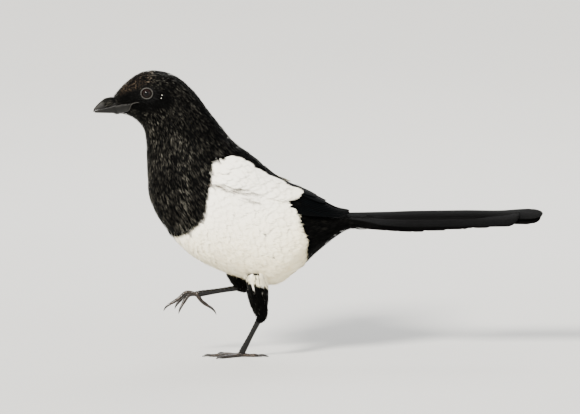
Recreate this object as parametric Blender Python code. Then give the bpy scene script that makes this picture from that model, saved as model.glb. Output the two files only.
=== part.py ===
"""A life-size Eurasian magpie, walking, with its left foot on the floor and its right foot lifted.

The bird faces -X and +Z is up, so its left side is towards -Y. The origin is the middle of the
standing foot's sole, on the floor and on the bird's middle plane. Sizes are in millimetres here
and become metres when a mesh is made. Run it with blender --background --python part.py.
"""
import math

import bmesh
import bpy
import numpy as np

MM = 0.001
GAP = 0.3                      # space kept between neighbouring pieces
LEFT, RIGHT = -1, 1
SIDES = {"left": LEFT, "right": RIGHT}

# Ribs of the body from the bill to the tail root. Each is a flat section across the body:
# its top and bottom point in the middle plane (x, z), its half width, and how far down its
# widest place is shifted.
RIBS = {
    "bill_base": ((-119.0, 244.0), (-114.0, 229.0), 7.2, 0.0),
    "forehead": ((-108.0, 256.5), (-104.5, 227.0), 13.0, 0.0),
    "eye": ((-92.5, 267.0), (-96.0, 221.5), 18.2, 0.0),
    "crown": ((-75.0, 268.3), (-90.0, 213.5), 20.5, 0.0),
    "hindcrown": ((-58.5, 262.5), (-88.0, 201.5), 21.5, 0.0),
    "nape": ((-43.5, 249.5), (-87.6, 187.0), 23.0, 0.0),
    "neck": ((-31.0, 233.0), (-87.0, 168.5), 26.0, 0.0),
    "shoulder": ((-18.5, 217.0), (-84.5, 147.0), 31.5, 0.0),
    "breast": ((-7.0, 203.0), (-71.0, 122.0), 36.0, 0.02),
    "mantle": ((9.0, 189.5), (-47.5, 96.5), 39.5, 0.04),
    "back": ((26.3, 173.0), (-19.0, 81.5), 40.0, 0.06),
    "saddle": ((44.6, 159.8), (9.0, 72.5), 38.5, 0.06),
    "rump": ((62.4, 149.2), (32.0, 68.5), 34.0, 0.05),
    "vent": ((78.3, 140.3), (54.0, 83.0), 26.5, 0.03),
    "coverts": ((92.0, 135.0), (74.0, 101.5), 18.5, 0.0),
    "tail_root": ((104.0, 133.8), (97.0, 118.6), 12.5, 0.0),
}
BODY_PIECES = {"head": (0, 4), "neck": (4, 7), "breast": (7, 8.5), "torso": (8.5, 13),
               "vent": (13, 15)}       # first and last rib of each piece
BODY_SIDES = 22                # facets round the head, neck and torso
BODY_END_AT_LEGS = (8.0, 14.0)  # the ribs that a thigh can touch
RINGS_PER_RIB = 2

# Head
EYE_RADIUS = 5.5
EYE_CENTRE = (-86.5, 15.4, 249.5)
EYE_FACING = (-0.16, 1.0, 0.05)
# A lid is a ring: its radius, its thickness, and its distance in front of the eye's centre
LID_RING, LID_ROLL, LID_OUT = 5.0, 0.85, 3.4
LID_FACETS = (16, 6)           # round the eye and round the ring's own section
MOUTH_CORNER = ((-0.6, 88), (0.0, 86), (0.45, 88), (0.85, 92))     # (rib, degrees) along it
MOUTH_GROOVE = (0.7, 0.7, 0.6, 0.3)      # radii of the groove that marks it
NASAL_TUFT = ((-110.0, 3.4, 244.5), (-117.5, 3.6, 243.6), (-123.0, 3.7, 242.3),
              (-128.0, 3.6, 240.8))
NASAL_RADII = (3.0, 2.7, 2.1, 0.7)
NASAL_CLEARANCE = 0.42         # space between a tuft and the bill under it
BILL_TIP = (-137.3, 231.2)
BILL_GONYS_TIP = (-136.0, 229.5)
MOUTH_LINE_BASE_Z = 237.2
BILL_HALF_WIDTH = 6.4
BILL_TIP_HALF_WIDTH, BILL_TIP_DEPTH = 0.55, 0.8
BILL_LOWER_WIDTH = 0.94        # the lower half's width as a share of the upper's
BILL_STATIONS = (0.0, 0.18, 0.36, 0.54, 0.70, 0.84, 0.94, 1.0)
CULMEN_RISE = 3.6              # how far the ridge of the bill arches above a straight line

# Wings, as places on the body: ribs from the bill, and degrees from the back towards the belly
WING_ARM_TOP = ((8.8, 50), (9.5, 30), (10.3, 17), (11.2, 11))
WING_ARM_LOW = ((8.7, 62), (9.4, 52), (10.3, 46), (11.2, 46))
WING_ROOTS = ((10.6, 17), (10.8, 44))    # of the uppermost and the lowest flight feather
WING_TIPS = ((12.7, 13), (13.6, 14), (14.15, 17), (14.25, 22), (13.3, 31))
SCAPULAR_TOP = ((7.95, 52), (8.5, 30), (9.4, 17), (10.4, 11), (11.1, 11))
SCAPULAR_LOW = ((8.2, 70), (8.9, 60), (9.7, 50), (10.5, 43), (11.0, 38))
SCAPULAR_TIERS = ((0.12, 0.55, 4), (0.38, 0.85, 4), (0.62, 1.18, 4))   # root, tip, feathers
FLIGHT_FEATHERS = 9
FLIGHT_HALF_WIDTH = 6.2
WING_LIFT, WING_CORE = 0.6, 2.0      # the arm's height above the body, and how thick it is
FLIGHT_HEIGHTS = (1.7, 2.4)    # height of a flight feather's middle at its root and at its tip
FLIGHT_TILT = 0.24             # how steeply its lower edge is raised over the next feather
SCAPULAR_HALF_WIDTH = 6.0
SCAPULAR_LIFT = (0.6, 2.6, 1.3)  # least height, more over the wing's arm, more over its feathers
SCAPULAR_THICK = (0.9, 0.5)    # of the sheet under the shoulder feathers, and more in its middle
SCAPULAR_TILT = 0.06
VANE_THICK = 0.8
VANE_EDGE_THICK = 0.6

# Tail
TAIL_PAIRS = 6
TAIL_TIP_X = 281.0
TAIL_STEP = 21.5               # how much shorter each pair is than the one inside it
TAIL_TOP_Z = (135.2, 137.6)    # height of the tail's top over its root and at its tip
TAIL_ROLL = 12.0               # the whole tail is turned a little towards the bird's left
TAIL_SLOPE = 14.0              # how far the outer feathers slope down from the middle
TAIL_CROWN_SLOPE = 4.0         # and the middle pair
TAIL_HALF_WIDTH = 10.5
TAIL_PITCH = 1.0               # each pair lies this much below the one inside it
TAIL_VANE_THICK = (0.65, 0.8)  # at its edges and along its shaft
TAIL_START_X, TAIL_ROOT_X = 104.0, 112.0     # where the tail's own shape and its vanes begin
TAIL_TWIST_LENGTH = 60.0       # over which the roll grows
TAIL_SIDE_GAP = 0.7            # from the middle plane to the inner edge of an outer feather
TAIL_OVERLAP = 2.2             # how far a middle feather reaches over the middle plane
TAIL_LEFT_SHORTER = 2.0        # the left middle feather is a little shorter than the right
TAIL_CAMBER, TAIL_CROWN_CAMBER = 0.05, 0.16
TAIL_COVERTS = ((112.0, 1.0, 127.0), (124.0, 0.96, 127.6), (137.0, 0.86, 128.4),
                (150.0, 0.62, 129.8), (160.0, 0.3, 131.0))    # x, size, height of the middle

# Legs: middle points from the body down, with radii
ANKLE = {"left": (18.5, -13.0, 40.0), "right": (1.5, 17.0, 63.0)}
FOOT_HUB = {"left": (0.0, 0.0, 2.4), "right": (-41.5, 9.5, 57.5)}
HUB_RADIUS = 3.1
THIGH_TOP = {"left": (13.0, -21.0, 84.0), "right": (-8.5, 19.5, 88.0)}
THIGH_RADII = (11.5, 10.4, 8.6, 6.0, 3.3)
CUFF_LENGTH = 4.5              # how far the thigh's feathers reach below the ankle
SHANK_ROOM_LENGTH = 14.0       # of the hole that keeps the cuff clear of the shank
TARSUS_RADIUS = 1.9
TARSUS_SWELL = (1.1, 0.95, 1.25)    # its radius at the cuff, in the middle and over the foot
TARSUS_SCUTES = 8
TARSUS_FLATTEN = 0.85
SCUTE_STEP, SCUTE_GROOVE = 0.10, 0.25    # depth and length of the groove under each scute
TOE_RADIUS = 1.75
TOE_TAPER = (1.1, 1.0, 0.95, 0.72)
TOE_PADS = 0.10                # how far the pads swell
TOE_STATIONS = (0.35, 0.7, 1.0)
CLAW_RADIUS = 1.15
CLAW_TAPER = (1.0, 0.85, 0.55)
CLAW_TIP_RADIUS, CLAW_TIP_HEIGHT = 0.18, 0.35
CLAW_CLEARANCE = 0.51          # from the end of a toe to its claw
SOLE_DEPTH = 0.45              # how much of each toe's underside is flattened by the floor
TOE_LENGTHS = {1: 16.5, 2: 19.5, 3: 28.5, 4: 21.5}
CLAW_LENGTHS = {1: 9.5, 2: 7.0, 3: 8.0, 4: 6.5}
STANDING_TOE_HEADINGS = {1: -4.0, 2: 148.0, 3: 181.0, 4: 213.0}
LIFTED_TOE_PITCHES = {1: (-56.0, -46.0, -34.0), 2: (0.0, -44.0, -60.0), 3: (11.0, -38.0, -32.0),
                      4: (5.0, -34.0, -50.0)}
LIFTED_TOE_SPREADS = {1: 0.05, 2: -0.42, 3: -0.08, 4: 0.36}


def rgb(r, g, b):
    return (r, g, b, 1.0)


BLACK = rgb(0.012, 0.012, 0.013)
WHITE = rgb(0.80, 0.77, 0.68)
WING_BLACK = rgb(0.010, 0.014, 0.020)
HORN = rgb(0.022, 0.021, 0.021)
EYE_BROWN = rgb(0.030, 0.014, 0.008)

# Folded wings stand clear of the rump by the roof's height. It starts at a rib, grows over some
# ribs, and falls away between two angles from the middle of the back.
ROOF_HEIGHT = 3.0
ROOF_FIRST_RIB, ROOF_RIBS = 10.4, 1.6
ROOF_RIDGE, ROOF_SLOPE = 8, 26           # degrees

VANE_STATIONS = (0.0, 0.2, 0.4, 0.6, 0.78, 0.9, 0.97, 1.0)
SHORT_VANE_STATIONS = (0.0, 0.35, 0.7, 0.9, 1.0)


def clear_scene():
    for obj in list(bpy.data.objects):
        bpy.data.objects.remove(obj)


def finish(name, color, roughness):
    """A plain material, made once for each name."""
    found = bpy.data.materials.get(name)
    if found:
        return found
    made = bpy.data.materials.new(name)
    made.use_nodes = True
    shader = made.node_tree.nodes["Principled BSDF"]
    shader.inputs["Base Color"].default_value = color
    shader.inputs["Roughness"].default_value = roughness
    shader.inputs["Metallic"].default_value = 0.0
    made.diffuse_color = color
    return made


def unit(vector):
    return np.asarray(vector, float) / np.linalg.norm(vector)


def ease(x):
    """0 below 0, 1 above 1, and smooth between."""
    x = min(max(x, 0.0), 1.0)
    return x * x * (3 - 2 * x)


def smooth_curve(points, at):
    """The point at a real-valued index on the smooth curve through evenly counted points."""
    points = np.asarray(points, float)
    i = int(min(max(math.floor(at), 0), len(points) - 2))
    t = at - i
    p1, p2 = points[i], points[i + 1]
    p0 = points[i - 1] if i > 0 else 2 * p1 - p2
    p3 = points[i + 2] if i + 2 < len(points) else 2 * p2 - p1
    return 0.5 * (2 * p1 + (p2 - p0) * t + (2 * p0 - 5 * p1 + 4 * p2 - p3) * t ** 2
                  + (3 * p1 - p0 - 3 * p2 + p3) * t ** 3)


def along_curve(points, share):
    return smooth_curve(points, share * (len(points) - 1))


# Meshes

def new_object(name, points, faces, look):
    mesh = bpy.data.meshes.new(name)
    mesh.from_pydata([tuple(MM * float(c) for c in p) for p in points], [], faces)
    mesh.materials.append(look)
    made = bpy.data.objects.new(name, mesh)
    bpy.context.scene.collection.objects.link(made)
    bm = bmesh.new()
    bm.from_mesh(mesh)
    bmesh.ops.recalc_face_normals(bm, faces=bm.faces)
    bm.to_mesh(mesh)
    bm.free()
    return made


def loft(name, rings, look):
    """A closed skin over rings with equal counts of points, with a flat cap at each end."""
    count = len(rings[0])
    faces = []
    for r in range(len(rings) - 1):
        for k in range(count):
            a, b = r * count + k, r * count + (k + 1) % count
            faces.append((a, b, b + count, a + count))
    last = (len(rings) - 1) * count
    faces.append(tuple(range(count)))
    faces.append(tuple(range(last + count - 1, last - 1, -1)))
    return new_object(name, [p for ring in rings for p in ring], faces, look)


def plate(name, middle, normals, thickness, look):
    """A thin closed plate about a grid of middle points. Both faces are split into triangles
    the same way, so that they can't cross."""
    rows, columns = len(middle), len(middle[0])
    points = []
    for sign in (0.5, -0.5):
        for r in range(rows):
            for c in range(columns):
                points.append(middle[r][c] + sign * thickness[r][c] * normals[r][c])
    under = rows * columns
    faces = []
    for r in range(rows - 1):
        for c in range(columns - 1):
            a, b = r * columns + c, r * columns + c + 1
            d, e = a + columns, b + columns
            triangles = ((a, b, e), (a, e, d)) if c < columns // 2 else ((a, b, d), (b, e, d))
            for t in triangles:
                faces.append(t)
                faces.append(tuple(under + i for i in reversed(t)))
    rim = ([(0, c) for c in range(columns)] + [(r, columns - 1) for r in range(1, rows)]
           + [(rows - 1, c) for c in range(columns - 2, -1, -1)]
           + [(r, 0) for r in range(rows - 2, 0, -1)])
    ids = [r * columns + c for r, c in rim]
    for i, j in zip(ids, ids[1:] + ids[:1]):
        faces.append((i, j, under + j))
        faces.append((i, under + j, under + i))
    return new_object(name, points, faces, look)


def tube(name, path, radii, look, sides=8, flatten=1.0, count=None, wobble=None):
    """A round rod along a smooth path. flatten is its height over its width, and wobble
    changes the radius along it."""
    count = count or len(path)
    shares = np.linspace(0, 1, count)
    centres = [along_curve(path, t) for t in shares]
    rings = []
    sideways = np.array((0.0, 1.0, 0.0))
    for i, t in enumerate(shares):
        ahead = unit(centres[min(i + 1, count - 1)] - centres[max(i - 1, 0)])
        sideways = unit(sideways - np.dot(sideways, ahead) * ahead)
        up = np.cross(sideways, ahead)
        radius = float(along_curve([[r] for r in radii], t)[0]) * (wobble(t) if wobble else 1.0)
        turns = [2 * math.pi * (k + 0.5) / sides for k in range(sides)]
        rings.append([centres[i] + radius * (math.sin(a) * sideways + flatten * math.cos(a) * up)
                      for a in turns])
    return loft(name, rings, look)


def apply_boolean(obj, other, operation):
    """Joins to obj, or cuts from it, an object or every object of a list, and removes them."""
    others = other if isinstance(other, list) else [other]
    group = bpy.data.collections.new("operands")
    bpy.context.scene.collection.children.link(group)
    for piece in others:
        group.objects.link(piece)
    modifier = obj.modifiers.new("boolean", "BOOLEAN")
    modifier.operation = operation
    modifier.operand_type = "COLLECTION"
    modifier.collection = group
    modifier.solver = "EXACT"
    bpy.context.view_layer.update()
    graph = bpy.context.evaluated_depsgraph_get()
    result = bpy.data.meshes.new_from_object(obj.evaluated_get(graph))
    obj.modifiers.clear()
    obj.data = result
    for piece in others:
        bpy.data.objects.remove(piece)
    bpy.data.collections.remove(group)


def keep_largest(obj):
    """Leaves only the largest closed surface of the mesh."""
    bm = bmesh.new()
    bm.from_mesh(obj.data)
    left, groups = set(bm.faces), []
    while left:
        todo, group = [left.pop()], []
        while todo:
            face = todo.pop()
            group.append(face)
            for edge in face.edges:
                for near in edge.link_faces:
                    if near in left:
                        left.remove(near)
                        todo.append(near)
        groups.append(group)
    groups.sort(key=lambda group: sum(face.calc_area() for face in group))
    for group in groups[:-1]:
        bmesh.ops.delete(bm, geom=group, context="FACES")
    loose = [v for v in bm.verts if not v.link_faces]
    bmesh.ops.delete(bm, geom=loose, context="VERTS")
    bm.to_mesh(obj.data)
    bm.free()


def fuse(core, pieces):
    apply_boolean(core, pieces, "UNION")
    keep_largest(core)


# Body

RIB_ROWS = [(*top, *bottom, width, shift) for top, bottom, width, shift in RIBS.values()]


def body_normal(s, angle):
    step = 1e-3
    along = body_point(s + step, angle) - body_point(s - step, angle)
    round_it = body_point(s, angle + step) - body_point(s, angle - step)
    return unit(np.cross(round_it, along))


def body_point(s, angle, lift=0.0):
    """A point on the body's left side: s counts ribs from the bill, angle runs from 0 on the
    back to pi on the belly, and lift is the height above the surface."""
    top_x, top_z, low_x, low_z, width, shift = smooth_curve(RIB_ROWS, s)
    across = math.cos(angle)
    across -= shift * (1 - across ** 2)
    x = (top_x + low_x) / 2 + (top_x - low_x) / 2 * across
    z = (top_z + low_z) / 2 + (top_z - low_z) / 2 * across
    point = np.array([x, -width * math.sin(angle), z])
    return point + lift * body_normal(s, angle) if lift else point


def mirrored(point, side):
    return np.asarray(point) * (1, -side, 1)


def body_ring(s, lift=0.0, shift_along=0.0):
    """The points round the body at s, moved along the body by shift_along."""
    half = BODY_SIDES // 2
    left = [body_point(s, math.pi * k / half, lift) for k in range(half + 1)]
    ring = left + [mirrored(p, RIGHT) for p in left[-2:0:-1]]
    top_x, top_z, low_x, low_z = smooth_curve(RIB_ROWS, s)[:4]
    rearwards = unit([top_z - low_z, 0.0, low_x - top_x])
    return [p + shift_along * rearwards for p in ring]


def body_piece(name, look):
    """A length of the body between two ribs, short of each cut by half the gap."""
    start, end = BODY_PIECES[name]
    count = round((end - start) * RINGS_PER_RIB)
    stations = np.linspace(start, end, count + 1)
    trims = [GAP / 2] + [0.0] * (count - 1) + [-GAP / 2]
    return loft(name, [body_ring(s, 0.0, t) for s, t in zip(stations, trims)], look)


def build_head(look):
    """The head with rims round its eyes, the corners of the mouth, and a tuft of bristly
    feathers over each nostril."""
    head = body_piece("head", look)
    added, removed = [], []
    for side in (LEFT, RIGHT):
        path = [(x, side * y, z) for x, y, z in NASAL_TUFT]
        tuft = tube("tuft", path, NASAL_RADII, look, sides=8, count=6)
        apply_boolean(tuft, mandible("bill", look, True, NASAL_CLEARANCE), "DIFFERENCE")
        keep_largest(tuft)
        added += [tuft, lid_ring(side, look)]
        x, y, z = EYE_CENTRE
        removed.append(ball("socket", (x, side * y, z), EYE_RADIUS + GAP, look, 3))
        corner = [mirrored(body_point(s, math.radians(a)), side) for s, a in MOUTH_CORNER]
        removed.append(tube("groove", corner, MOUTH_GROOVE, look, sides=6, count=5))
    fuse(head, added)
    apply_boolean(head, removed, "DIFFERENCE")
    keep_largest(head)


def ball(name, centre, radius, look, subdivisions=2):
    bm = bmesh.new()
    bmesh.ops.create_icosphere(bm, subdivisions=subdivisions, radius=radius)
    points = [np.array(v.co) + centre for v in bm.verts]
    faces = [[v.index for v in f.verts] for f in bm.faces]
    bm.free()
    return new_object(name, points, faces, look)


def lid_ring(side, look):
    """The bare rim round the eye, a ring that faces outwards and a little forwards."""
    facing = mirrored(unit(EYE_FACING), -side)
    centre = mirrored(EYE_CENTRE, -side) + LID_OUT * facing
    across = unit(np.cross(facing, (0.0, 0.0, 1.0)))
    up = np.cross(across, facing)
    around, roll = LID_FACETS
    points, faces = [], []
    for i in range(around):
        a = 2 * math.pi * i / around
        outward = math.cos(a) * across + math.sin(a) * up
        for j in range(roll):
            b = 2 * math.pi * j / roll
            reach = LID_RING + LID_ROLL * math.cos(b)
            points.append(centre + reach * outward + 1.1 * LID_ROLL * math.sin(b) * facing)
            n, m = (i + 1) % around, (j + 1) % roll
            faces.append((i * roll + j, n * roll + j, n * roll + m, i * roll + m))
    return new_object("lid", points, faces, look)


def mandible(name, look, upper, grow=0.0):
    """One half of the bill, above or below the line of the mouth, or made larger all round."""
    base_top, base_low = RIBS["bill_base"][:2]
    tip_x = BILL_TIP[0] if upper else BILL_GONYS_TIP[0]
    lean = (base_low[0] - base_top[0]) / (base_low[1] - base_top[1])
    rings = []
    for t in BILL_STATIONS:
        mouth_z = MOUTH_LINE_BASE_Z + (BILL_TIP[1] - MOUTH_LINE_BASE_Z) * t ** 0.9
        if upper:
            arch = CULMEN_RISE * math.sin(math.pi * t ** 1.25) ** 0.8
            tip_z = BILL_TIP[1] + BILL_TIP_DEPTH
            depth = base_top[1] + (tip_z - base_top[1]) * t + arch - mouth_z
        else:
            depth = base_low[1] + (BILL_GONYS_TIP[1] - base_low[1]) * t ** 2 - mouth_z
        start = GAP / 2 if upper else -GAP / 2
        width = BILL_HALF_WIDTH * (1 - t ** 1.15) + BILL_TIP_HALF_WIDTH
        width = width * (1.0 if upper else BILL_LOWER_WIDTH) + grow
        x = base_top[0] - GAP + (tip_x - base_top[0]) * t
        ring = []
        for k in range(9):
            a = math.pi * k / 8
            z = mouth_z + start + (depth + math.copysign(grow, depth)) * math.sin(a) ** 0.85
            z -= math.copysign(grow if k in (0, 8) else 0, depth)
            ring.append((x + (z - base_top[1]) * (1 - t) * lean, width * math.cos(a), z))
        rings.append(ring)
    if grow:
        rings.insert(0, [(x + 9.0, y, z) for x, y, z in rings[0]])
    return loft(name, rings, look)


# Feathers laid on the body

def step_on_body(s, angle, vector):
    """How s and angle change for a short move along the surface."""
    step = 1e-3
    by_s = (body_point(s + step, angle) - body_point(s - step, angle)) / (2 * step)
    by_angle = (body_point(s, angle + step) - body_point(s, angle - step)) / (2 * step)
    change, *_ = np.linalg.lstsq(np.array([by_s, by_angle]).T, vector, rcond=None)
    return change


def vane_width(t, root_share=0.6, tip_share=0.3):
    """Width of a feather along its length, as a share of its full width."""
    grow = root_share + (1 - root_share) * ease(t / 0.45)
    if t < 0.75:
        return grow
    end = (t - 0.75) / 0.25
    return grow * max(tip_share, math.sqrt(max(0.0, 1 - end ** 2)))


def vane_on_body(name, root, tip, half_width, heights, tilt, side, look, stations):
    """A feather's vane on the body, from root to tip, each (rib, degrees). heights gives its
    middle's height above the body at root and tip, and tilt raises its lower edge."""
    root = np.array((root[0], math.radians(root[1])))
    tip = np.array((tip[0], math.radians(tip[1])))
    middle, normals, thick = [], [], []
    for t in stations:
        s, angle = root + (tip - root) * t
        ahead = body_point(*(root + (tip - root) * (t + 0.01))) - body_point(s, angle)
        normal = body_normal(s, angle)
        downward = unit(np.cross(unit(ahead), normal))
        if downward[2] > 0 and angle > 0.3 or downward[1] > 0:
            downward = -downward
        width = half_width * vane_width(t)
        height = heights[0] + (heights[1] - heights[0]) * ease(t)
        row, row_normals, row_thick = [], [], []
        for v in (-1.0, 0.0, 1.0):
            ds, da = step_on_body(s, angle, v * width * downward)
            place = (s + ds, angle + da)
            lift = height + tilt * v * width + roof(*place)
            row.append(mirrored(body_point(*place, lift), side))
            row_normals.append(mirrored(body_normal(*place), side))
            row_thick.append(VANE_THICK if v == 0 else VANE_EDGE_THICK)
        middle.append(row)
        normals.append(row_normals)
        thick.append(row_thick)
    return plate(name, middle, normals, thick, look)


def sheet_on_body(name, top_edge, low_edge, columns, rows, height, side, look):
    """A padded sheet on the body between two edge lines. height(p, q) gives its lower and
    upper height at the share p along it and q across it."""
    middle, normals, thick = [], [], []
    for p in np.linspace(0, 1, columns):
        row, row_normals, row_thick = [], [], []
        for q in np.linspace(0, 1, rows):
            s, degrees = (1 - q) * along_curve(top_edge, p) + q * along_curve(low_edge, p)
            angle = math.radians(degrees)
            low, high = height(p, q, (s, angle))
            row.append(mirrored(body_point(s, angle, (low + high) / 2), side))
            row_normals.append(mirrored(body_normal(s, angle), side))
            row_thick.append(high - low)
        middle.append(row)
        normals.append(row_normals)
        thick.append(row_thick)
    return plate(name, middle, normals, thick, look)


def roof(s, angle):
    """How far folded wings stand clear of the rump."""
    beside_ridge = (math.degrees(angle) - ROOF_RIDGE) / ROOF_SLOPE
    return ROOF_HEIGHT * ease((s - ROOF_FIRST_RIB) / ROOF_RIBS) * (1 - ease(beside_ridge))


def build_wing(name, side, look):
    """A folded wing: an arm that lies on the flank, and its tertials, secondaries and
    primaries, each one lying over the next below it."""
    def arm(p, q, place):
        bulge = math.sin(math.pi * min(max(q, 0.04), 0.96)) ** 0.5
        low = WING_LIFT + roof(*place)
        return low, low + WING_CORE * (0.35 + 0.65 * bulge) * (0.45 + 0.55 * ease(p / 0.2))

    core = sheet_on_body(name, WING_ARM_TOP, WING_ARM_LOW, 8, 6, arm, side, look)
    vanes = []
    for k in range(FLIGHT_FEATHERS):
        q = k / (FLIGHT_FEATHERS - 1)
        root = (1 - q) * np.array(WING_ROOTS[0]) + q * np.array(WING_ROOTS[1])
        tip = along_curve(WING_TIPS, q)
        vanes.append(vane_on_body("vane", root, tip, FLIGHT_HALF_WIDTH, FLIGHT_HEIGHTS,
                                  FLIGHT_TILT, side, look, VANE_STATIONS))
    fuse(core, vanes)


def build_scapulars(name, side, look):
    """The white shoulder feathers, in tiers that lie like tiles over the root of the wing."""
    least, over_arm, over_feathers = SCAPULAR_LIFT
    least_thick, more_thick = SCAPULAR_THICK

    def pad(p, q, place):
        rim = ease(p / 0.25) * max(ease(q / 0.35), ease((p - 0.4) / 0.25))
        low = least + over_arm * rim + over_feathers * ease((p - 0.5) / 0.3) + roof(*place)
        return low, low + least_thick + more_thick * math.sin(math.pi * q) * ease(p / 0.3)

    core = sheet_on_body(name, SCAPULAR_TOP, SCAPULAR_LOW, 8, 6, pad, side, look)
    vanes = []
    for tier, (p_root, p_tip, count) in enumerate(SCAPULAR_TIERS):
        for k in range(count):
            q = (k + 0.5 + 0.25 * (tier % 2)) / (count + 0.25)
            root = (1 - q) * along_curve(SCAPULAR_TOP, p_root)
            root += q * along_curve(SCAPULAR_LOW, p_root)
            tip = (1 - q) * along_curve(SCAPULAR_TOP, p_tip)
            tip += q * along_curve(SCAPULAR_LOW, p_tip)
            flat = (ROOF_FIRST_RIB, 1.0)
            heights = (pad(p_root, q, flat)[1] - 0.3, pad(1, q, flat)[1] + 0.9)
            vanes.append(vane_on_body("vane", root, tip, SCAPULAR_HALF_WIDTH, heights,
                                      SCAPULAR_TILT, side, look, SHORT_VANE_STATIONS))
    fuse(core, vanes)


# Tail

def tail_frame(x):
    """Top middle of the tail at x, and its directions across to the left and up."""
    share = (x - TAIL_START_X) / (TAIL_TIP_X - TAIL_START_X)
    top = np.array((x, 0.0, TAIL_TOP_Z[0] + (TAIL_TOP_Z[1] - TAIL_TOP_Z[0]) * share))
    roll = math.radians(TAIL_ROLL) * ease((x - TAIL_START_X) / TAIL_TWIST_LENGTH)
    left = np.array((0.0, -math.cos(roll), -math.sin(roll)))
    up = np.array((0.0, -math.sin(roll), math.cos(roll)))
    return top, left, up


def tail_vane(pair, side, look):
    """One tail feather. The middle pair lies flat on top and the others slope away below."""
    start = TAIL_ROOT_X + 1.5 * pair
    end = TAIL_TIP_X - TAIL_STEP * pair
    if side == LEFT and pair == 0:
        end -= TAIL_LEFT_SHORTER
    slope = math.radians(TAIL_SLOPE if pair else TAIL_CROWN_SLOPE)
    middle, normals, thick = [], [], []
    for t in VANE_STATIONS:
        x = start + (end - start) * t
        top, left, up = tail_frame(x)
        across = -side * left
        width = TAIL_HALF_WIDTH * vane_width(t, 0.6, 0.25)
        sideways = unit(math.cos(slope) * across - math.sin(slope) * up)
        normal = unit(math.sin(slope) * across + math.cos(slope) * up)
        if pair:
            inner, drop = TAIL_SIDE_GAP, TAIL_PITCH * (pair + 0.3)
        else:
            inner, drop = TAIL_OVERLAP - width, (0.0 if side == RIGHT else TAIL_PITCH)
        row, row_thick = [], []
        for v in (-1.0, 0.0, 1.0):
            reach = inner + (1 + v) * width
            camber = (TAIL_CAMBER if pair else TAIL_CROWN_CAMBER) * width * v * v
            row.append(top + reach * sideways - drop * up - camber * normal)
            row_thick.append(TAIL_VANE_THICK[v == 0])
        middle.append(row)
        normals.append([normal] * 3)
        thick.append(row_thick)
    return plate("vane", middle, normals, thick, look)


def build_tail(look):
    """The tail root under its coverts, and six graduated pairs of feathers."""
    ring = np.array(body_ring(BODY_PIECES["vent"][1], 0.0, GAP / 2))
    centre = ring.mean(axis=0)
    rings = [ring]
    for x, share, z in TAIL_COVERTS:
        middle = np.array((x, 0.0, z))
        flat = (ring - centre) * (0.0, share, share)
        rings.append(middle + flat)
    core = loft("tail", rings, look)
    vanes = [tail_vane(pair, side, look) for pair in range(TAIL_PAIRS) for side in (LEFT, RIGHT)]
    fuse(core, vanes)


# Legs

def cut_flat(obj, place, normal):
    """Takes away what lies beyond a plane, on the side its normal points to."""
    bm = bmesh.new()
    bm.from_mesh(obj.data)
    geom = list(bm.verts) + list(bm.edges) + list(bm.faces)
    cut = bmesh.ops.bisect_plane(bm, geom=geom, plane_co=tuple(MM * np.asarray(place)),
                                 plane_no=tuple(normal), clear_outer=True, dist=1e-7)
    rim = [e for e in cut["geom_cut"] if isinstance(e, bmesh.types.BMEdge)]
    bmesh.ops.holes_fill(bm, edges=rim)
    bm.to_mesh(obj.data)
    bm.free()


def build_leg(side_name, feather_look, scale_look, horn_look):
    ankle, hub = np.array(ANKLE[side_name]), np.array(FOOT_HUB[side_name])
    top = np.array(THIGH_TOP[side_name])
    shin = unit(hub - ankle)
    cuff = ankle + CUFF_LENGTH * shin
    path = [top, 0.62 * top + 0.38 * ankle, 0.3 * top + 0.7 * ankle, ankle - shin, cuff + shin]
    thigh = tube(f"thigh_{side_name}", path, THIGH_RADII, feather_look, sides=12, count=9)
    first, last = BODY_END_AT_LEGS
    stations = np.linspace(first, last, round((last - first) * RINGS_PER_RIB) + 1)
    body = loft("body", [body_ring(s, GAP) for s in stations], feather_look)
    room = max(TARSUS_SWELL) * TARSUS_RADIUS + GAP
    shank_room = tube("room", [cuff, cuff + SHANK_ROOM_LENGTH * shin], (room, room),
                      feather_look, sides=10)
    apply_boolean(thigh, [body, shank_room], "DIFFERENCE")
    keep_largest(thigh)

    start, end = cuff + GAP * shin, hub - (HUB_RADIUS + GAP) * shin
    tube(f"tarsus_{side_name}", [start, (start + end) / 2, end],
         [share * TARSUS_RADIUS for share in TARSUS_SWELL], scale_look,
         flatten=TARSUS_FLATTEN, count=2 * TARSUS_SCUTES + 1,
         wobble=lambda t: 1.07 - SCUTE_STEP * ((t * TARSUS_SCUTES) % 1.0 > SCUTE_GROOVE))
    build_foot(side_name, SIDES[side_name], hub, shin, scale_look, horn_look)


def standing_toe(toe, hub, side):
    """A toe flat on the floor, as points from the hub to the claw's root, and its heading."""
    heading = math.radians(STANDING_TOE_HEADINGS[toe])
    ahead = np.array((math.cos(heading), -side * math.sin(heading), 0.0))
    length = TOE_LENGTHS[toe]
    low = hub * (1, 1, 0) + (0, 0, TOE_RADIUS - SOLE_DEPTH)
    return [low + (0, 0, 0.9)] + [low + t * length * ahead for t in TOE_STATIONS], ahead


def lifted_toe(toe, hub, side):
    """A toe that hangs, half curled, in mid step."""
    forward = 1 if toe == 1 else -1
    points = [hub]
    for pitch in LIFTED_TOE_PITCHES[toe]:
        a = math.radians(pitch)
        spread = side * LIFTED_TOE_SPREADS[toe]
        ahead = unit((forward * math.cos(a), spread * math.cos(a), math.sin(a)))
        points.append(points[-1] + TOE_LENGTHS[toe] / 3 * ahead)
    return points, ahead


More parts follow.
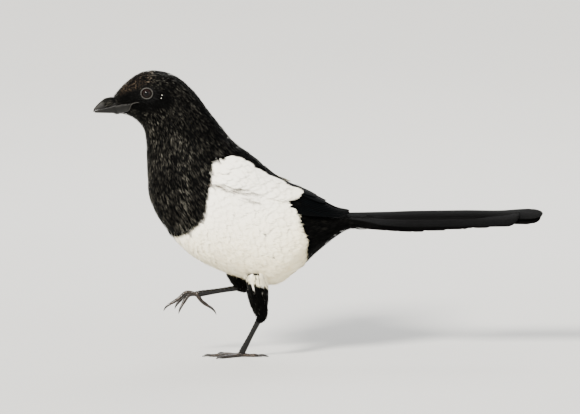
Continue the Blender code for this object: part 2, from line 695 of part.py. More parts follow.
def build_foot(side_name, side, hub, shin, look, horn_look):
    standing = side_name == "left"
    place_toe = standing_toe if standing else lifted_toe
    foot = ball(f"foot_{side_name}", hub, HUB_RADIUS, look)
    toes = []
    for toe, length in TOE_LENGTHS.items():
        path, ahead = place_toe(toe, hub, side)
        pads = max(toe, 2)
        toes.append(tube("toe", path, [share * TOE_RADIUS for share in TOE_TAPER], look, count=9,
                         wobble=lambda t, n=pads: 1 + TOE_PADS * math.cos(2 * math.pi * n * t)))
        build_claw(f"claw_{side_name}_{toe}", path[-1], ahead, CLAW_LENGTHS[toe], standing,
                   horn_look)
    fuse(foot, toes)
    if standing:
        cut_flat(foot, (0, 0, 0), (0, 0, -1))


def build_claw(name, root, ahead, length, standing, look):
    """A hooked claw, whose root faces the end of its toe."""
    start = np.array(root) + CLAW_CLEARANCE * ahead
    down = np.array((0.0, 0.0, -1.0))
    if standing:
        drop = start[2] - CLAW_TIP_HEIGHT
        hook = ((0.45, -0.4), (0.8, 0.35 * drop), (1.0, drop))
    else:
        hook = ((0.4, 0.0), (0.72, 0.12 * length), (0.9, 0.36 * length))
    path = [start] + [start + t * length * ahead + fall * down for t, fall in hook]
    radii = [share * CLAW_RADIUS for share in CLAW_TAPER] + [CLAW_TIP_RADIUS]
    tube(name, path, radii, look, sides=6, count=6)


def build():
    black = finish("black_feathers", BLACK, 0.55)
    white = finish("white_feathers", WHITE, 0.75)
    flight = finish("flight_feathers", WING_BLACK, 0.4)
    horn = finish("horn", HORN, 0.35)
    scales = finish("leg_scales", HORN, 0.5)
    eye = finish("eye", EYE_BROWN, 0.05)
    build_head(black)
    for name, look in (("neck", black), ("breast", black), ("torso", white), ("vent", black)):
        body_piece(name, look)
    mandible("bill_upper", horn, True)
    mandible("bill_lower", horn, False)
    build_tail(flight)
    for side_name, side in SIDES.items():
        ball(f"eye_{side_name}", mirrored(EYE_CENTRE, -side), EYE_RADIUS, eye, 3)
        build_wing(f"wing_{side_name}", side, flight)
        build_scapulars(f"scapulars_{side_name}", side, white)
        build_leg(side_name, black, scales, horn)


clear_scene()
build()
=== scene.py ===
# %% [markdown]
# A life-size magpie in mid step
#
# This lesson dresses a plain model of a magpie with its plumage. The plain model gives the true
# size and pose. Here every visible surface is made again, finer: one skin under everything, a
# coat of small overlapping feathers, large wing and tail feathers, a horn bill, eyes with lids,
# and scaly legs. The bird faces -X, its left side is towards -Y, and +Z is up. Sizes are in
# millimetres, and become metres when a mesh is made.

# %% Loading the frame
import math
from functools import partial

import bmesh
import bpy
import numpy as np
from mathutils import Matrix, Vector, kdtree


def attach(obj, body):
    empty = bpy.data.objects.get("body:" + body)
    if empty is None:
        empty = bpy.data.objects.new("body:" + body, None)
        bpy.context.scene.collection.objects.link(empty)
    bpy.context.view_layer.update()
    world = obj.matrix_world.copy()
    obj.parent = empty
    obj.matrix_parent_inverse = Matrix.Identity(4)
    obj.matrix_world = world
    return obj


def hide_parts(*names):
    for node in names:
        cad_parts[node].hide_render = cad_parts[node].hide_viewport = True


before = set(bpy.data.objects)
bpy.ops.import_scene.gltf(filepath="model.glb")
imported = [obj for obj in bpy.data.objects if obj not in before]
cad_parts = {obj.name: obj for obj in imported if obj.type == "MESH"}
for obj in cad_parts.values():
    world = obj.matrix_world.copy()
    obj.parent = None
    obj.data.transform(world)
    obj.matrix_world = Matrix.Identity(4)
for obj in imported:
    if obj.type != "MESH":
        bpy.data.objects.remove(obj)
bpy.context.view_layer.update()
MM = 0.001
LEFT, RIGHT = -1, 1
SIDES = {"left": LEFT, "right": RIGHT}
print("nodes in the frame:", len(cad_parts))

# %% [markdown]
# The camera first
#
# The photograph was taken from far away with a long lens, at the bird's left side and a little
# above it. A long lens flattens the view, so a distant camera with a matching lens is used
# rather than a near one. The photograph is 580 units wide, and one unit is 0.93 mm of bird.

# %% Camera and light
PHOTO_WIDTH = 580
MM_PER_PIXEL = 0.93
CAMERA_AIM = (45.6, 0.0, 140.9)
CAMERA_HEIGHT_DEGREES = 8.0
CAMERA_DISTANCE = 8000.0
SENSOR = 36.0
LIGHTS = (      # name, kind, place, energy, tint, and how soft it is
    ("key", "SUN", (-0.9, -1.2, 1.25), 12.0, (1.0, 0.955, 0.87), {"angle": math.radians(14.0)}),
    ("fill", "AREA", (1.5, -1.4, 0.9), 12.0, (0.94, 0.97, 1.0), {"size": 1.2}),
    ("rim", "AREA", (0.2, 1.2, 1.5), 22.0, (1.0, 1.0, 1.0), {"size": 1.0}),
)
LIGHT_AIM = (0.04, 0.0, 0.15)
WORLD_TINT, WORLD_STRENGTH = (0.95, 0.95, 0.95, 1.0), 1.6


def place_camera():
    data = bpy.data.cameras.new("camera")
    data.sensor_width = SENSOR
    data.lens = SENSOR * CAMERA_DISTANCE / (PHOTO_WIDTH * MM_PER_PIXEL)
    data.dof.use_dof = False
    camera = bpy.data.objects.new("camera", data)
    bpy.context.scene.collection.objects.link(camera)
    rise = math.radians(CAMERA_HEIGHT_DEGREES)
    back = Vector((0.0, -math.cos(rise), math.sin(rise)))
    camera.location = MM * (Vector(CAMERA_AIM) + CAMERA_DISTANCE * back)
    camera.rotation_euler = (-back).to_track_quat("-Z", "Y").to_euler()
    bpy.context.scene.camera = camera


def add_light(name, kind, place, energy, tint, softness):
    data = bpy.data.lights.new(name, kind)
    data.energy = energy
    data.color = tint
    for key, value in softness.items():
        setattr(data, key, value)
    light = bpy.data.objects.new(name, data)
    bpy.context.scene.collection.objects.link(light)
    light.location = place
    light.rotation_euler = (Vector(LIGHT_AIM) - light.location).to_track_quat("-Z", "Y").to_euler()


def build_studio():
    for light in LIGHTS:
        add_light(*light)
    world = bpy.data.worlds.new("studio")
    bpy.context.scene.world = world
    world.use_nodes = True
    sky = world.node_tree.nodes["Background"].inputs
    sky["Color"].default_value = WORLD_TINT
    sky["Strength"].default_value = WORLD_STRENGTH


place_camera()
build_studio()
print("camera aims at", CAMERA_AIM)

# %% [markdown]
# Writing materials as sums
#
# A material is a graph of nodes. Long graphs are easier to read as arithmetic, so a wire from
# one node to the next is wrapped in a small class that knows how to add and multiply. One
# method makes every other kind of node.

# %% The wire and the finish
class Wire:
    """One output of a shader node. Arithmetic on it adds Math nodes."""

    def __init__(self, finish, socket):
        self.finish = finish
        self.socket = socket

    def math(self, operation, *values, clamp=False):
        settings = {"operation": operation, "use_clamp": clamp}
        sockets = dict(enumerate(values))
        return self.finish.add("ShaderNodeMath", settings, sockets)

    def __add__(self, other):
        return self.math("ADD", self, other)

    def __sub__(self, other):
        return self.math("SUBTRACT", self, other)

    def __rsub__(self, other):
        return self.math("SUBTRACT", other, self)

    def __mul__(self, other):
        return self.math("MULTIPLY", self, other)

    def __truediv__(self, other):
        return self.math("DIVIDE", self, other)

    def __pow__(self, other):
        return self.math("POWER", self, other)

    def clamped(self):
        return self.math("ADD", self, 0.0, clamp=True)

    def sine(self):
        return self.math("SINE", self)

    def size(self):
        return self.math("ABSOLUTE", self)

    __radd__ = __add__


class Finish:
    """A material whose nodes are being written."""

    def __init__(self, name):
        self.material = bpy.data.materials.new(name)
        self.material.use_nodes = True
        self.tree = self.material.node_tree
        self.shader = self.tree.nodes["Principled BSDF"]

    def add(self, kind, settings=None, sockets=None, output=0):
        """A node: its settings first, then the values or wires of its sockets."""
        node = self.tree.nodes.new(kind)
        for key, value in (settings or {}).items():
            setattr(node, key, value)
        for key, value in (sockets or {}).items():
            self.feed(node.inputs[key], value)
        return Wire(self, node.outputs[output])

    def feed(self, socket, value):
        if isinstance(value, Wire):
            self.tree.links.new(value.socket, socket)
        else:
            socket.default_value = value

    def shade(self, sockets):
        for key, value in sockets.items():
            self.feed(self.shader.inputs[key], value)
        return self.material

    def mix(self, share, first, second):
        """A colour between two colours."""
        return self.add("ShaderNodeMix", {"data_type": "RGBA"}, {0: share, 6: first, 7: second},
                        output=2)

    def between(self, value, low, high):
        """0 where value is below low, 1 above high, and smooth between."""
        return self.add("ShaderNodeMapRange", {"interpolation_type": "SMOOTHSTEP"},
                        {"Value": value, "From Min": low, "From Max": high})

    def place(self):
        """The point on the piece, in metres."""
        return self.add("ShaderNodeTexCoord", output="Object")

    def parts(self, vector, axes="XYZ"):
        """The numbers of a vector, one wire for each axis."""
        return [self.add("ShaderNodeSeparateXYZ", None, {0: vector}, output=axis)
                for axis in axes]

    def attribute(self, name, axes="XYZ"):
        return self.parts(self.add("ShaderNodeAttribute", {"attribute_name": name},
                                   output="Vector"), axes)

    def noise(self, point, scale, detail=2.0, roughness=0.5):
        return self.add("ShaderNodeTexNoise", None, {"Vector": point, "Scale": scale,
                                                     "Detail": detail, "Roughness": roughness})

    def bump(self, height, strength, distance):
        return self.add("ShaderNodeBump", None, {"Height": height, "Strength": strength,
                                                 "Distance": distance})


def color(r, g, b):
    return (r, g, b, 1.0)


# %% [markdown]
# Materials for plumage
#
# Black feathers are never one black. The light that their tips catch is painted into their
# colour as fine pale flecks, a painted glint, bronze on the forehead, and the feathers round the
# eye are matt, without it. Each small feather carries three numbers as an attribute: how far
# along the feather a point is, a number of its own for each barb, and one for each feather. The
# material turns them into painted glints on the black, painted shade at the roots of the white,
# and soft variation.

# %% Plumage materials
FEATHER_LOOK = "feather"
BLACK = color(0.0006, 0.0006, 0.0006)
# painted highlight colours: the pale glint on black feather tips, and its bronze on the forehead
BLACK_PAINTED_GLINT = color(0.090, 0.085, 0.070)
BRONZE_PAINTED_GLINT = color(0.086, 0.062, 0.042)
WHITE = color(0.94, 0.91, 0.81)
CREAM = color(0.91, 0.82, 0.56)
# the darker white of the painted shade at feather roots and on leaning barbs, and of each
# feather's random tone
WHITE_PAINTED_SHADE_AND_TONE = color(0.83, 0.77, 0.64)
MASK_X, MASK_Z = -0.087, 0.2435     # the middle of the very dark patch round the eye
MASK_SIZE = (0.025, 0.0105)
PAINTED_GLINT_TIP = (0.2, 0.65)           # the share of a feather's length where its painted glint begins
PAINTED_GLINT_BARBS = (0.55, 0.95)
BREAST_FRONT = (-0.01, 0.062)       # forwards, between these, the painted glints grow stronger
NECK_HEIGHTS = (0.205, 0.232)       # upwards, between these, they grow weaker
FOREHEAD_LINE = (0.2925, 0.2985)    # painted bronze glints begin above this slanting line
FOREHEAD_SLOPE = 0.45
FOREHEAD_FRONT = (0.074, 0.092)
BRISTLES_FRONT = (0.111, 0.115)
BACK_FRONT = (0.0, 0.04)            # rearwards, between these, the painted glints fade
CREAM_HEIGHTS = (-0.165, -0.085)    # downwards, between these, the white grows creamier
CREAM_REAR = (0.02, 0.075)


def black_plumage():
    look = Finish("black_plumage")
    along, barb, shade = look.attribute(FEATHER_LOOK)
    point = look.place()
    x, z = look.parts(point, "XZ")
    forwards = x * -1.0
    # painted highlight: the tips of barbs are painted pale as glints of light, and made a little
    # glossier
    painted_glint = look.between(along, *PAINTED_GLINT_TIP) * look.between(barb, *PAINTED_GLINT_BARBS)
    painted_glint = painted_glint * (shade * 0.8 + 0.2)
    eye_mask = ((x - MASK_X) / MASK_SIZE[0]) ** 2.0 + ((z - MASK_Z) / MASK_SIZE[1]) ** 2.0
    away_from_eye = look.between(eye_mask, 0.6, 1.6)
    throat = look.between(forwards, *BREAST_FRONT) * (1.0 - look.between(z, *NECK_HEIGHTS) * 0.55)
    forehead = look.between(z - x * FOREHEAD_SLOPE, *FOREHEAD_LINE)
    forehead = forehead * look.between(forwards, *FOREHEAD_FRONT)
    forehead = forehead * (1.0 - look.between(forwards, *BRISTLES_FRONT))
    clouds = look.between(look.noise(point, 70.0, 3.0), 0.30, 0.68)
    # how strong the painted glints are: most on the throat and forehead, less on the back, none
    # round the eye
    strength = throat * 0.85 + forehead * 1.1 + 0.2 - look.between(x, *BACK_FRONT) * 0.14
    strength = strength * (clouds * 0.75 + 0.25) * away_from_eye
    tone = look.mix((painted_glint * strength).clamped(), BLACK, look.mix(forehead, BLACK_PAINTED_GLINT, BRONZE_PAINTED_GLINT))
    return look.shade({"Base Color": tone, "Roughness": 0.6 - painted_glint * 0.2,
                       "Specular IOR Level": 0.02})


def white_plumage():
    look = Finish("white_plumage")
    along, barb, shade = look.attribute(FEATHER_LOOK)
    point = look.place()
    x, z = look.parts(point, "XZ")
    low, rear = look.between(z * -1.0, *CREAM_HEIGHTS), look.between(x, *CREAM_REAR)
    warm = (low * 0.75 + rear * 0.35 + look.noise(point, 40.0) * 0.25 - 0.05).clamped()
    tone = look.mix(warm, WHITE, CREAM)
    # painted shade: darker at each feather's root, where the one before overlaps it, and on barbs
    # leaning most one way; each feather's random tone adds to it
    painted_shadow = (1.0 - look.between(along, 0.05, 0.6)) * 0.15 + look.between(barb, 0.7, 1.0) * 0.12
    tone = look.mix((painted_shadow + shade * 0.08).clamped(), tone, WHITE_PAINTED_SHADE_AND_TONE)
    return look.shade({"Base Color": tone, "Roughness": 0.8, "Sheen Weight": 0.1,
                       "Sheen Roughness": 0.5})


def smudged_plumage():
    """The dark down that shows through between the shoulder and the flank."""
    look = Finish("smudged_plumage")
    [along] = look.attribute(FEATHER_LOOK, "X")
    tone = look.mix(look.between(along, 0.35, 1.0), color(0.045, 0.032, 0.022),
                    color(0.17, 0.13, 0.09))
    return look.shade({"Base Color": tone, "Roughness": 0.8})


# %% [markdown]
# Materials for large feathers
#
# A flight feather has a shaft and two vanes of fine parallel barbs. Its black has a structural
# gloss, blue on the wing and faintly green on the tail, painted into its colour as a painted
# sheen of paler streaks. The attribute of a large feather holds the distance along and across it
# in millimetres, so that the barbs run at a slant from the shaft in a bump, and the painted sheen
# follows them.

# %% Flight feather materials
VANE_LOOK = "vane"
BARBS_ALONG, BARBS_ACROSS = 2.6, 3.4    # how fast the wave of the barbs runs along and across
SHAFT_EDGE = (0.25, 0.55)
SHAFT_BLACK = color(0.0016, 0.0014, 0.0014)


def flight_feathers(name, dark, gloss, gloss_share):
    look = Finish(name)
    along, across, tone = look.attribute(VANE_LOOK)
    from_shaft = across.size()
    barbs = (along * BARBS_ALONG - from_shaft * BARBS_ACROSS).sine() * 0.5 + 0.5
    spread = look.add("ShaderNodeCombineXYZ", None,
                      {0: along * 0.04, 1: across * 1.5, 2: tone * 9.0})
    streak = look.noise(spread, 1.4, 3.0)
    # painted sheen: paler streaks of the gloss colour, and a faint brightening along each barb,
    # painted into the base colour
    painted_shine = (look.between(streak, 0.42, 0.75) * gloss_share + barbs * 0.04).clamped()
    shaft = 1.0 - look.between(from_shaft, *SHAFT_EDGE)
    base = look.mix(shaft * 0.75, look.mix(painted_shine, dark, gloss), SHAFT_BLACK)
    bump = look.bump(barbs * 0.35 + streak * 0.9, 0.5, 0.0003)
    return look.shade({"Base Color": base, "Roughness": 0.5 + streak * 0.2,
                       "Specular IOR Level": 0.02, "Normal": bump})


# %% [markdown]
# Materials for horn, scales and eyes
#
# A magpie's bill is black horn with a satin polish, worn a little paler at its tip. Its
# legs are black scales with a dull shine. Its eye is very dark brown under a clear, wet cornea.

# %% Horn, scale and eye materials
BILL_LENGTH_AHEAD = 0.1373      # how far forwards of the standing foot the bill's tip is
WORN_LENGTH = 0.012
HORN_GRAIN = (90.0, 500.0, 420.0)


def horn():
    look = Finish("horn")
    point = look.place()
    [x] = look.parts(point, "X")
    drawn_out = look.add("ShaderNodeMapping", None, {"Vector": point, "Scale": HORN_GRAIN})
    grain = look.noise(drawn_out, 1.0, 4.0)
    worn = look.between(x * -1.0, BILL_LENGTH_AHEAD - WORN_LENGTH, BILL_LENGTH_AHEAD) * 0.35
    tone = look.mix((look.between(grain, 0.35, 0.8) * 0.5 + worn).clamped(),
                    color(0.0025, 0.0024, 0.0022), color(0.0145, 0.0135, 0.0115))
    return look.shade({"Base Color": tone, "Roughness": grain * 0.22 + 0.30,
                       "Normal": look.bump(grain, 0.35, 0.0003), "Specular IOR Level": 0.16})


def leg_scales():
    look = Finish("leg_scales")
    point = look.place()
    [edge] = look.attribute(VANE_LOOK, "Z")
    pebble = look.add("ShaderNodeTexVoronoi", {"feature": "DISTANCE_TO_EDGE"},
                      {"Vector": point, "Scale": 900.0})
    dust = look.noise(point, 260.0, 3.0)
    tone = look.mix((look.between(dust, 0.45, 0.75) * edge * 0.45 + edge * 0.12).clamped(),
                    color(0.0015, 0.0014, 0.0013), color(0.050, 0.037, 0.028))
    return look.shade({"Base Color": tone, "Roughness": dust * 0.16 + 0.14,
                       "Specular IOR Level": 0.25,
                       "Normal": look.bump(pebble, 0.3, 0.0004)})


def claw_horn():
    look = Finish("claw_horn")
    lines = look.noise(look.place(), 420.0, 3.0)
    tone = look.mix(lines, color(0.004, 0.0036, 0.0034), color(0.02, 0.018, 0.016))
    return look.shade({"Base Color": tone, "Roughness": 0.22 + lines * 0.12,
                       "Normal": look.bump(lines, 0.2, 0.0002)})


def eye_glass():
    """Rings round the eye's axis: pupil, iris and the dark rim. The attribute holds the
    distance from the axis and the turn about it."""
    look = Finish("eye_glass")
    radius, turn = look.attribute(VANE_LOOK, "XY")
    rays = look.noise(look.add("ShaderNodeCombineXYZ", None, {0: radius * 0.5, 1: turn * 9.0}),
                      2.0, 3.0)
    iris = look.mix(rays, color(0.0016, 0.0007, 0.0005), color(0.0075, 0.0025, 0.0016))
    pupil = 1.0 - look.between(radius, 2.15, 2.4)
    rim = look.between(radius, 3.7, 4.3)
    tone = look.mix((pupil + rim).clamped(), iris, color(0.001, 0.001, 0.001))
    return look.shade({"Base Color": tone, "Roughness": 0.4, "Coat Weight": 0.5,
                       "Coat Roughness": 0.06, "Coat IOR": 1.3, "Specular IOR Level": 0.0})


def lid_skin():
    look = Finish("lid_skin")
    bead = look.add("ShaderNodeTexVoronoi", {"feature": "F1"},
                    {"Vector": look.place(), "Scale": 1300.0})
    tone = look.mix(bead, color(0.040, 0.037, 0.032), color(0.005, 0.005, 0.0045))
    return look.shade({"Base Color": tone, "Roughness": 0.5, "Specular IOR Level": 0.2,
                       "Normal": look.bump(1.0 - bead, 0.4, 0.0003)})


def skin_hide():
    """The same markings as the coat, in case the skin shows between two feathers."""
    look = Finish("skin")
    [white] = look.attribute("marking", "X")
    grain = look.noise(look.place(), 300.0, 3.0)
    dark = look.mix(grain, color(0.0005, 0.0005, 0.0005), color(0.0012, 0.0012, 0.0012))
    pale = look.mix(grain, color(0.66, 0.62, 0.54), color(0.80, 0.77, 0.70))
    return look.shade({"Base Color": look.mix(look.between(white, 0.4, 0.6), dark, pale),
                       "Roughness": 0.85, "Specular IOR Level": 0.1,
                       "Normal": look.bump(grain, 0.4, 0.0006)})


LOOKS = {
    "black": black_plumage(),
    "white": white_plumage(),
    "smudge": smudged_plumage(),
    # the second colour of each flight feather is its painted sheen
    "wing": flight_feathers("wing_feathers", color(0.0005, 0.0005, 0.0006),
                            color(0.0010, 0.0022, 0.0027), 0.5),
    "tail": flight_feathers("tail_feathers", color(0.0005, 0.0005, 0.0005),
                            color(0.0020, 0.0021, 0.0020), 0.4),
    "horn": horn(),
    "claw": claw_horn(),
    "scales": leg_scales(),
    "eye": eye_glass(),
    "lid": lid_skin(),
    "skin": skin_hide(),
}
print("materials:", ", ".join(LOOKS))

# %% [markdown]
# The body as a surface
#
# The bird's body is a row of ribs from the bill to the tail, and a smooth curve through them.
# Any place on it then has two coordinates, the rib and the angle from the back towards the
# belly. They are better than x, y and z for plumage: a feather is laid by walking along these
# coordinates, so it bends with the body, and markings are lines drawn in them. The ribs are the
# ones that the plain model was made from, and five more carry the tail's coverts.

# %% Ribs and smooth curves
RIBS = np.array([   # top x, top z, bottom x, bottom z, half width, shift of the widest place
    (-119.0, 244.0, -114.0, 229.0, 7.2, 0.0),
    (-108.0, 256.5, -104.5, 227.0, 13.0, 0.0),
    (-92.5, 267.0, -96.0, 221.5, 18.2, 0.0),
    (-75.0, 268.3, -90.0, 213.5, 20.5, 0.0),
    (-58.5, 262.5, -88.0, 201.5, 21.5, 0.0),
    (-43.5, 249.5, -87.6, 187.0, 23.0, 0.0),
    (-31.0, 233.0, -87.0, 168.5, 26.0, 0.0),
    (-18.5, 217.0, -84.5, 147.0, 31.5, 0.0),
    (-7.0, 203.0, -71.0, 122.0, 36.0, 0.02),
    (9.0, 189.5, -47.5, 96.5, 39.5, 0.04),
    (26.3, 173.0, -19.0, 81.5, 40.0, 0.06),
    (44.6, 159.8, 9.0, 72.5, 38.5, 0.06),
    (62.4, 149.2, 32.0, 68.5, 34.0, 0.05),
    (78.3, 140.3, 54.0, 83.0, 26.5, 0.03),
    (92.0, 135.0, 74.0, 101.5, 18.5, 0.0),
    (104.0, 133.8, 97.0, 118.6, 12.5, 0.0),
    (114.0, 134.6, 112.0, 119.6, 12.2, 0.0),
    (125.0, 134.4, 124.0, 121.0, 11.0, 0.0),
    (137.5, 133.6, 137.0, 123.0, 8.5, 0.0),
    (150.5, 132.6, 150.0, 126.0, 5.5, 0.0),
    (160.5, 131.8, 160.0, 128.4, 3.0, 0.0),
])
LAST_RIB = len(RIBS) - 1


def smooth_rows(rows, at):
    """The values at real-valued indices on smooth curves through the rows."""
    rows = np.asarray(rows, float)
    at = np.clip(np.asarray(at, float), 0.0, len(rows) - 1.0)
    i = np.clip(np.floor(at).astype(int), 0, len(rows) - 2)
    t = (at - i)[..., None]
    p1, p2 = rows[i], rows[i + 1]
    p0 = np.where((i > 0)[..., None], rows[np.maximum(i - 1, 0)], 2 * p1 - p2)
    p3 = np.where((i + 2 < len(rows))[..., None], rows[np.minimum(i + 2, len(rows) - 1)],
                  2 * p2 - p1)
    return 0.5 * (2 * p1 + (p2 - p0) * t + (2 * p0 - 5 * p1 + 4 * p2 - p3) * t ** 2
                  + (3 * p1 - p0 - 3 * p2 + p3) * t ** 3)


def along_rows(rows, share):
    return smooth_rows(rows, np.asarray(share, float) * (len(rows) - 1))


def table_at(rows, x):
    """The second column at x in the first, on straight lines between the rows."""
    xs, values = zip(*rows)
    return np.interp(x, xs, values)


def ease(x):
    """0 below 0, 1 above 1, and smooth between."""
    x = np.clip(x, 0.0, 1.0)
    return x * x * (3 - 2 * x)


def unit(vector):
    vector = np.asarray(vector, float)
    return vector / np.maximum(np.linalg.norm(vector, axis=-1, keepdims=True), 1e-12)


# %% Surfaces that feathers lie on
def body(s, angle):
    """The point at rib s and at an angle, positive on the left side and negative on the right."""
    top_x, top_z, low_x, low_z, width, shift = np.moveaxis(smooth_rows(RIBS, s), -1, 0)
    across = np.cos(angle)
    across = across - shift * (1 - across ** 2)
    return np.stack([(top_x + low_x) / 2 + (top_x - low_x) / 2 * across,
                     -width * np.sin(angle),
                     (top_z + low_z) / 2 + (top_z - low_z) / 2 * across], axis=-1)


def slopes(surface, u, v):
    step = 1e-3
    by_u = (surface(u + step, v) - surface(u - step, v)) / (2 * step)
    by_v = (surface(u, v + step) - surface(u, v - step)) / (2 * step)
    return by_u, by_v


def normal(surface, u, v):
    by_u, by_v = slopes(surface, u, v)
    return unit(np.cross(by_v, by_u))


def lifted(surface, u, v, lift):
    return surface(u, v) + np.asarray(lift)[..., None] * normal(surface, u, v)


def path_rows(points, radii, stations=48):
    """A round rod along a smooth path, as rows of centre, sideways, up and radius."""
    shares = np.linspace(0, 1, stations)
    centres = along_rows(points, shares)
    radius = along_rows(np.array(radii)[:, None], shares)
    ahead = unit(np.gradient(centres, axis=0))
    sideways, rows = np.array((0.0, 1.0, 0.0)), []
    for centre, forward, r in zip(centres, ahead, radius):
        sideways = unit(sideways - np.dot(sideways, forward) * forward)
        rows.append(np.concatenate([centre, sideways, np.cross(sideways, forward), r]))
    return np.array(rows)


def round_rows(at, radius, turn, widths=(1.0, 1.0)):
    """Points round the rows' centres at the angle turn. widths stretches the section sideways
    and upwards."""
    sin, cos = widths[0] * np.sin(turn)[..., None], widths[1] * np.cos(turn)[..., None]
    return at[..., 0:3] + radius[..., None] * (sin * at[..., 3:6] + cos * at[..., 6:9])


def rod(rows):
    """The surface of a rod: u runs along it from 0 to 1, and v is the angle round it."""
    def surface(u, v):
        at = along_rows(rows, u)
        return round_rows(at, at[..., 9], v)
    return surface


ANKLE = {"left": (18.5, -13.0, 40.0), "right": (1.5, 17.0, 63.0)}
FOOT_HUB = {"left": (0.0, 0.0, 2.4), "right": (-41.5, 9.5, 57.5)}
THIGH_TOP = {"left": (13.0, -21.0, 84.0), "right": (-8.5, 19.5, 88.0)}
THIGH_RADII = (11.5, 10.4, 8.4, 5.4, 2.7)
CUFF_LENGTH = 4.5


def thigh_rows(side_name, inset=0.0):
    ankle, hub, top = (np.array(x[side_name]) for x in (ANKLE, FOOT_HUB, THIGH_TOP))
    shin = unit(hub - ankle)
    path = [top, 0.62 * top + 0.38 * ankle, 0.3 * top + 0.7 * ankle, ankle - shin,
            ankle + (CUFF_LENGTH + 1) * shin]
    return path_rows(path, np.array(THIGH_RADII) - inset)


print("belly's lowest point in mm:", round(float(body(12.0, math.pi)[2]), 1))

# %% [markdown]
# Markings
#
# The white of a magpie starts behind the black bib and ends before the black vent. Both edges
# are lines in the body's coordinates, read as the angle of each point and the rib it is on. A
# feather that would reach past the edge of its colour is cut short there.

# %% Where the bird is white
BIB_EDGE = ((50, 7.9), (59, 7.8), (72, 8.17), (82, 8.33), (104, 8.73), (128, 8.62), (155, 8.4),
            (180, 8.25))
VENT_EDGE = ((36, 11.0), (41, 11.3), (48, 11.7), (60, 12.05), (81, 12.62), (134, 13.14),
             (180, 13.2))


def degrees_round(angle):
    """Degrees from the back, from 0 to 180 on both sides."""
    return np.degrees(np.abs((angle + math.pi) % (2 * math.pi) - math.pi))


def angle_at(side, degrees):
    """The angle of a place on one side of the body, so many degrees from the back."""
    return -side * np.radians(degrees)


def is_white(s, angle):
    degrees = degrees_round(angle)
    return ((degrees > BIB_EDGE[0][0]) & (s > table_at(BIB_EDGE, degrees))
            & (s < table_at(VENT_EDGE, degrees)))


# %% [markdown]
# Making meshes
#
# Two ways are enough here. A single piece starts as a flat bmesh grid that is bent into place,
# welded where its edges meet, and given outward normals. Small feathers are too many for that,
# so one prototype is made with bmesh, and its points are laid on a surface thousands of times
# with arrays.

# %% Mesh helpers
BAKE_MAP = "OFBake"
BAKE_PATCH = 0.003


def new_object(name, mesh, look):
    mesh.materials.append(LOOKS[look])
    made = bpy.data.objects.new(name, mesh)
    bpy.context.scene.collection.objects.link(made)
    return made


def bent_grid(name, along, around, place, look, close=True, facts=None):
    """A grid of along by around cells, bent by place(u, v) with u and v from 0 to 1."""
    bm = bmesh.new()
    bmesh.ops.create_grid(bm, x_segments=along, y_segments=around, size=0.5)
    u, v = (np.array([vert.co[axis] + 0.5 for vert in bm.verts]) for axis in (0, 1))
    for vert, point in zip(bm.verts, place(u, v)):
        vert.co = MM * Vector(point)
    if facts:
        layer = bm.verts.layers.float_vector.new(VANE_LOOK)
        for vert, values in zip(bm.verts, np.stack(facts(u, v), axis=-1)):
            vert[layer] = Vector(values)
    if close:
        bmesh.ops.remove_doubles(bm, verts=bm.verts, dist=1e-7)
    bmesh.ops.recalc_face_normals(bm, faces=bm.faces)
    mesh = bpy.data.meshes.new(name)
    bm.to_mesh(mesh)
    bm.free()
    mesh.shade_smooth()
    return new_object(name, mesh, look)


def kept_facts(mesh):
    """The three numbers that each point of a bent grid keeps."""
    values = np.empty(3 * len(mesh.vertices), np.float32)
    mesh.attributes[VANE_LOOK].data.foreach_get("vector", values)
    return values.reshape(-1, 3).T.astype(float)


def joined(name, parts):
    """Several pieces as one."""
    with bpy.context.temp_override(active_object=parts[0], selected_editable_objects=parts):
        bpy.ops.object.join()
    parts[0].name = name
    return parts[0]


def united(main, others):
    """One closed surface round several closed pieces."""
    group = bpy.data.collections.new("operands")
    bpy.context.scene.collection.children.link(group)
    for piece in others:
        group.objects.link(piece)
    change = main.modifiers.new("union", "BOOLEAN")
    change.operation, change.operand_type, change.solver = "UNION", "COLLECTION", "EXACT"
    change.collection = group
    graph = bpy.context.evaluated_depsgraph_get()
    result = bpy.data.meshes.new_from_object(main.evaluated_get(graph))
    main.modifiers.clear()
    main.data = result
    for piece in others:
        bpy.data.objects.remove(piece)
    bpy.data.collections.remove(group)
    return main


def dress(piece, slot, *nodes):
    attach(piece, "root")
    if nodes:
        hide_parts(*nodes)
    return piece


# %% [markdown]
# The skin
#
# One skin runs from the bill to the tail and down both thighs, a little inside the plain model,
# by the depth of the plumage. It carries the markings too, so that nothing shines through. It
# is unwrapped by its own coordinates, rib and angle, with the thighs beside them.

# %% Skin under the feathers
SKIN_END = 17.5             # the rib where the skin is closed
SKIN_DEPTHS = ((0.0, 0.3), (1.0, 0.7), (3.0, 1.0), (5.0, 1.6), (8.0, 2.4), (12.0, 2.8),
               (15.0, 2.2), (17.5, 2.0))        # rib and depth under the plumage
THIGH_SKIN_DEPTH = 1.6
SKIN_MARK_LEAD = 0.1        # the skin's white begins this part of a rib before the coat's
WHITE_THIGH_TOP = 0.17      # the share of each thigh that the belly's feathers hide
EYE_CENTRE = np.array((-86.5, 15.4, 249.5))
EYE_RADIUS = 5.5
EYE_FACING = unit((-0.16, 1.0, 0.05))


def coat_depth(s):
    return table_at(SKIN_DEPTHS, s)


def body_map(s, angle):
    turn = (np.asarray(angle) + math.pi) % (2 * math.pi)
    return np.stack([0.02 + 0.96 * np.asarray(s) / LAST_RIB, 0.26 + 0.72 * turn / (2 * math.pi)],
                    axis=-1)


def thigh_map(side_name, t, angle):
    turn = (np.asarray(angle) + math.pi) % (2 * math.pi)
    start = 0.02 if side_name == "left" else 0.52
    return np.stack([start + 0.44 * np.asarray(t), 0.02 + 0.2 * turn / (2 * math.pi)], axis=-1)


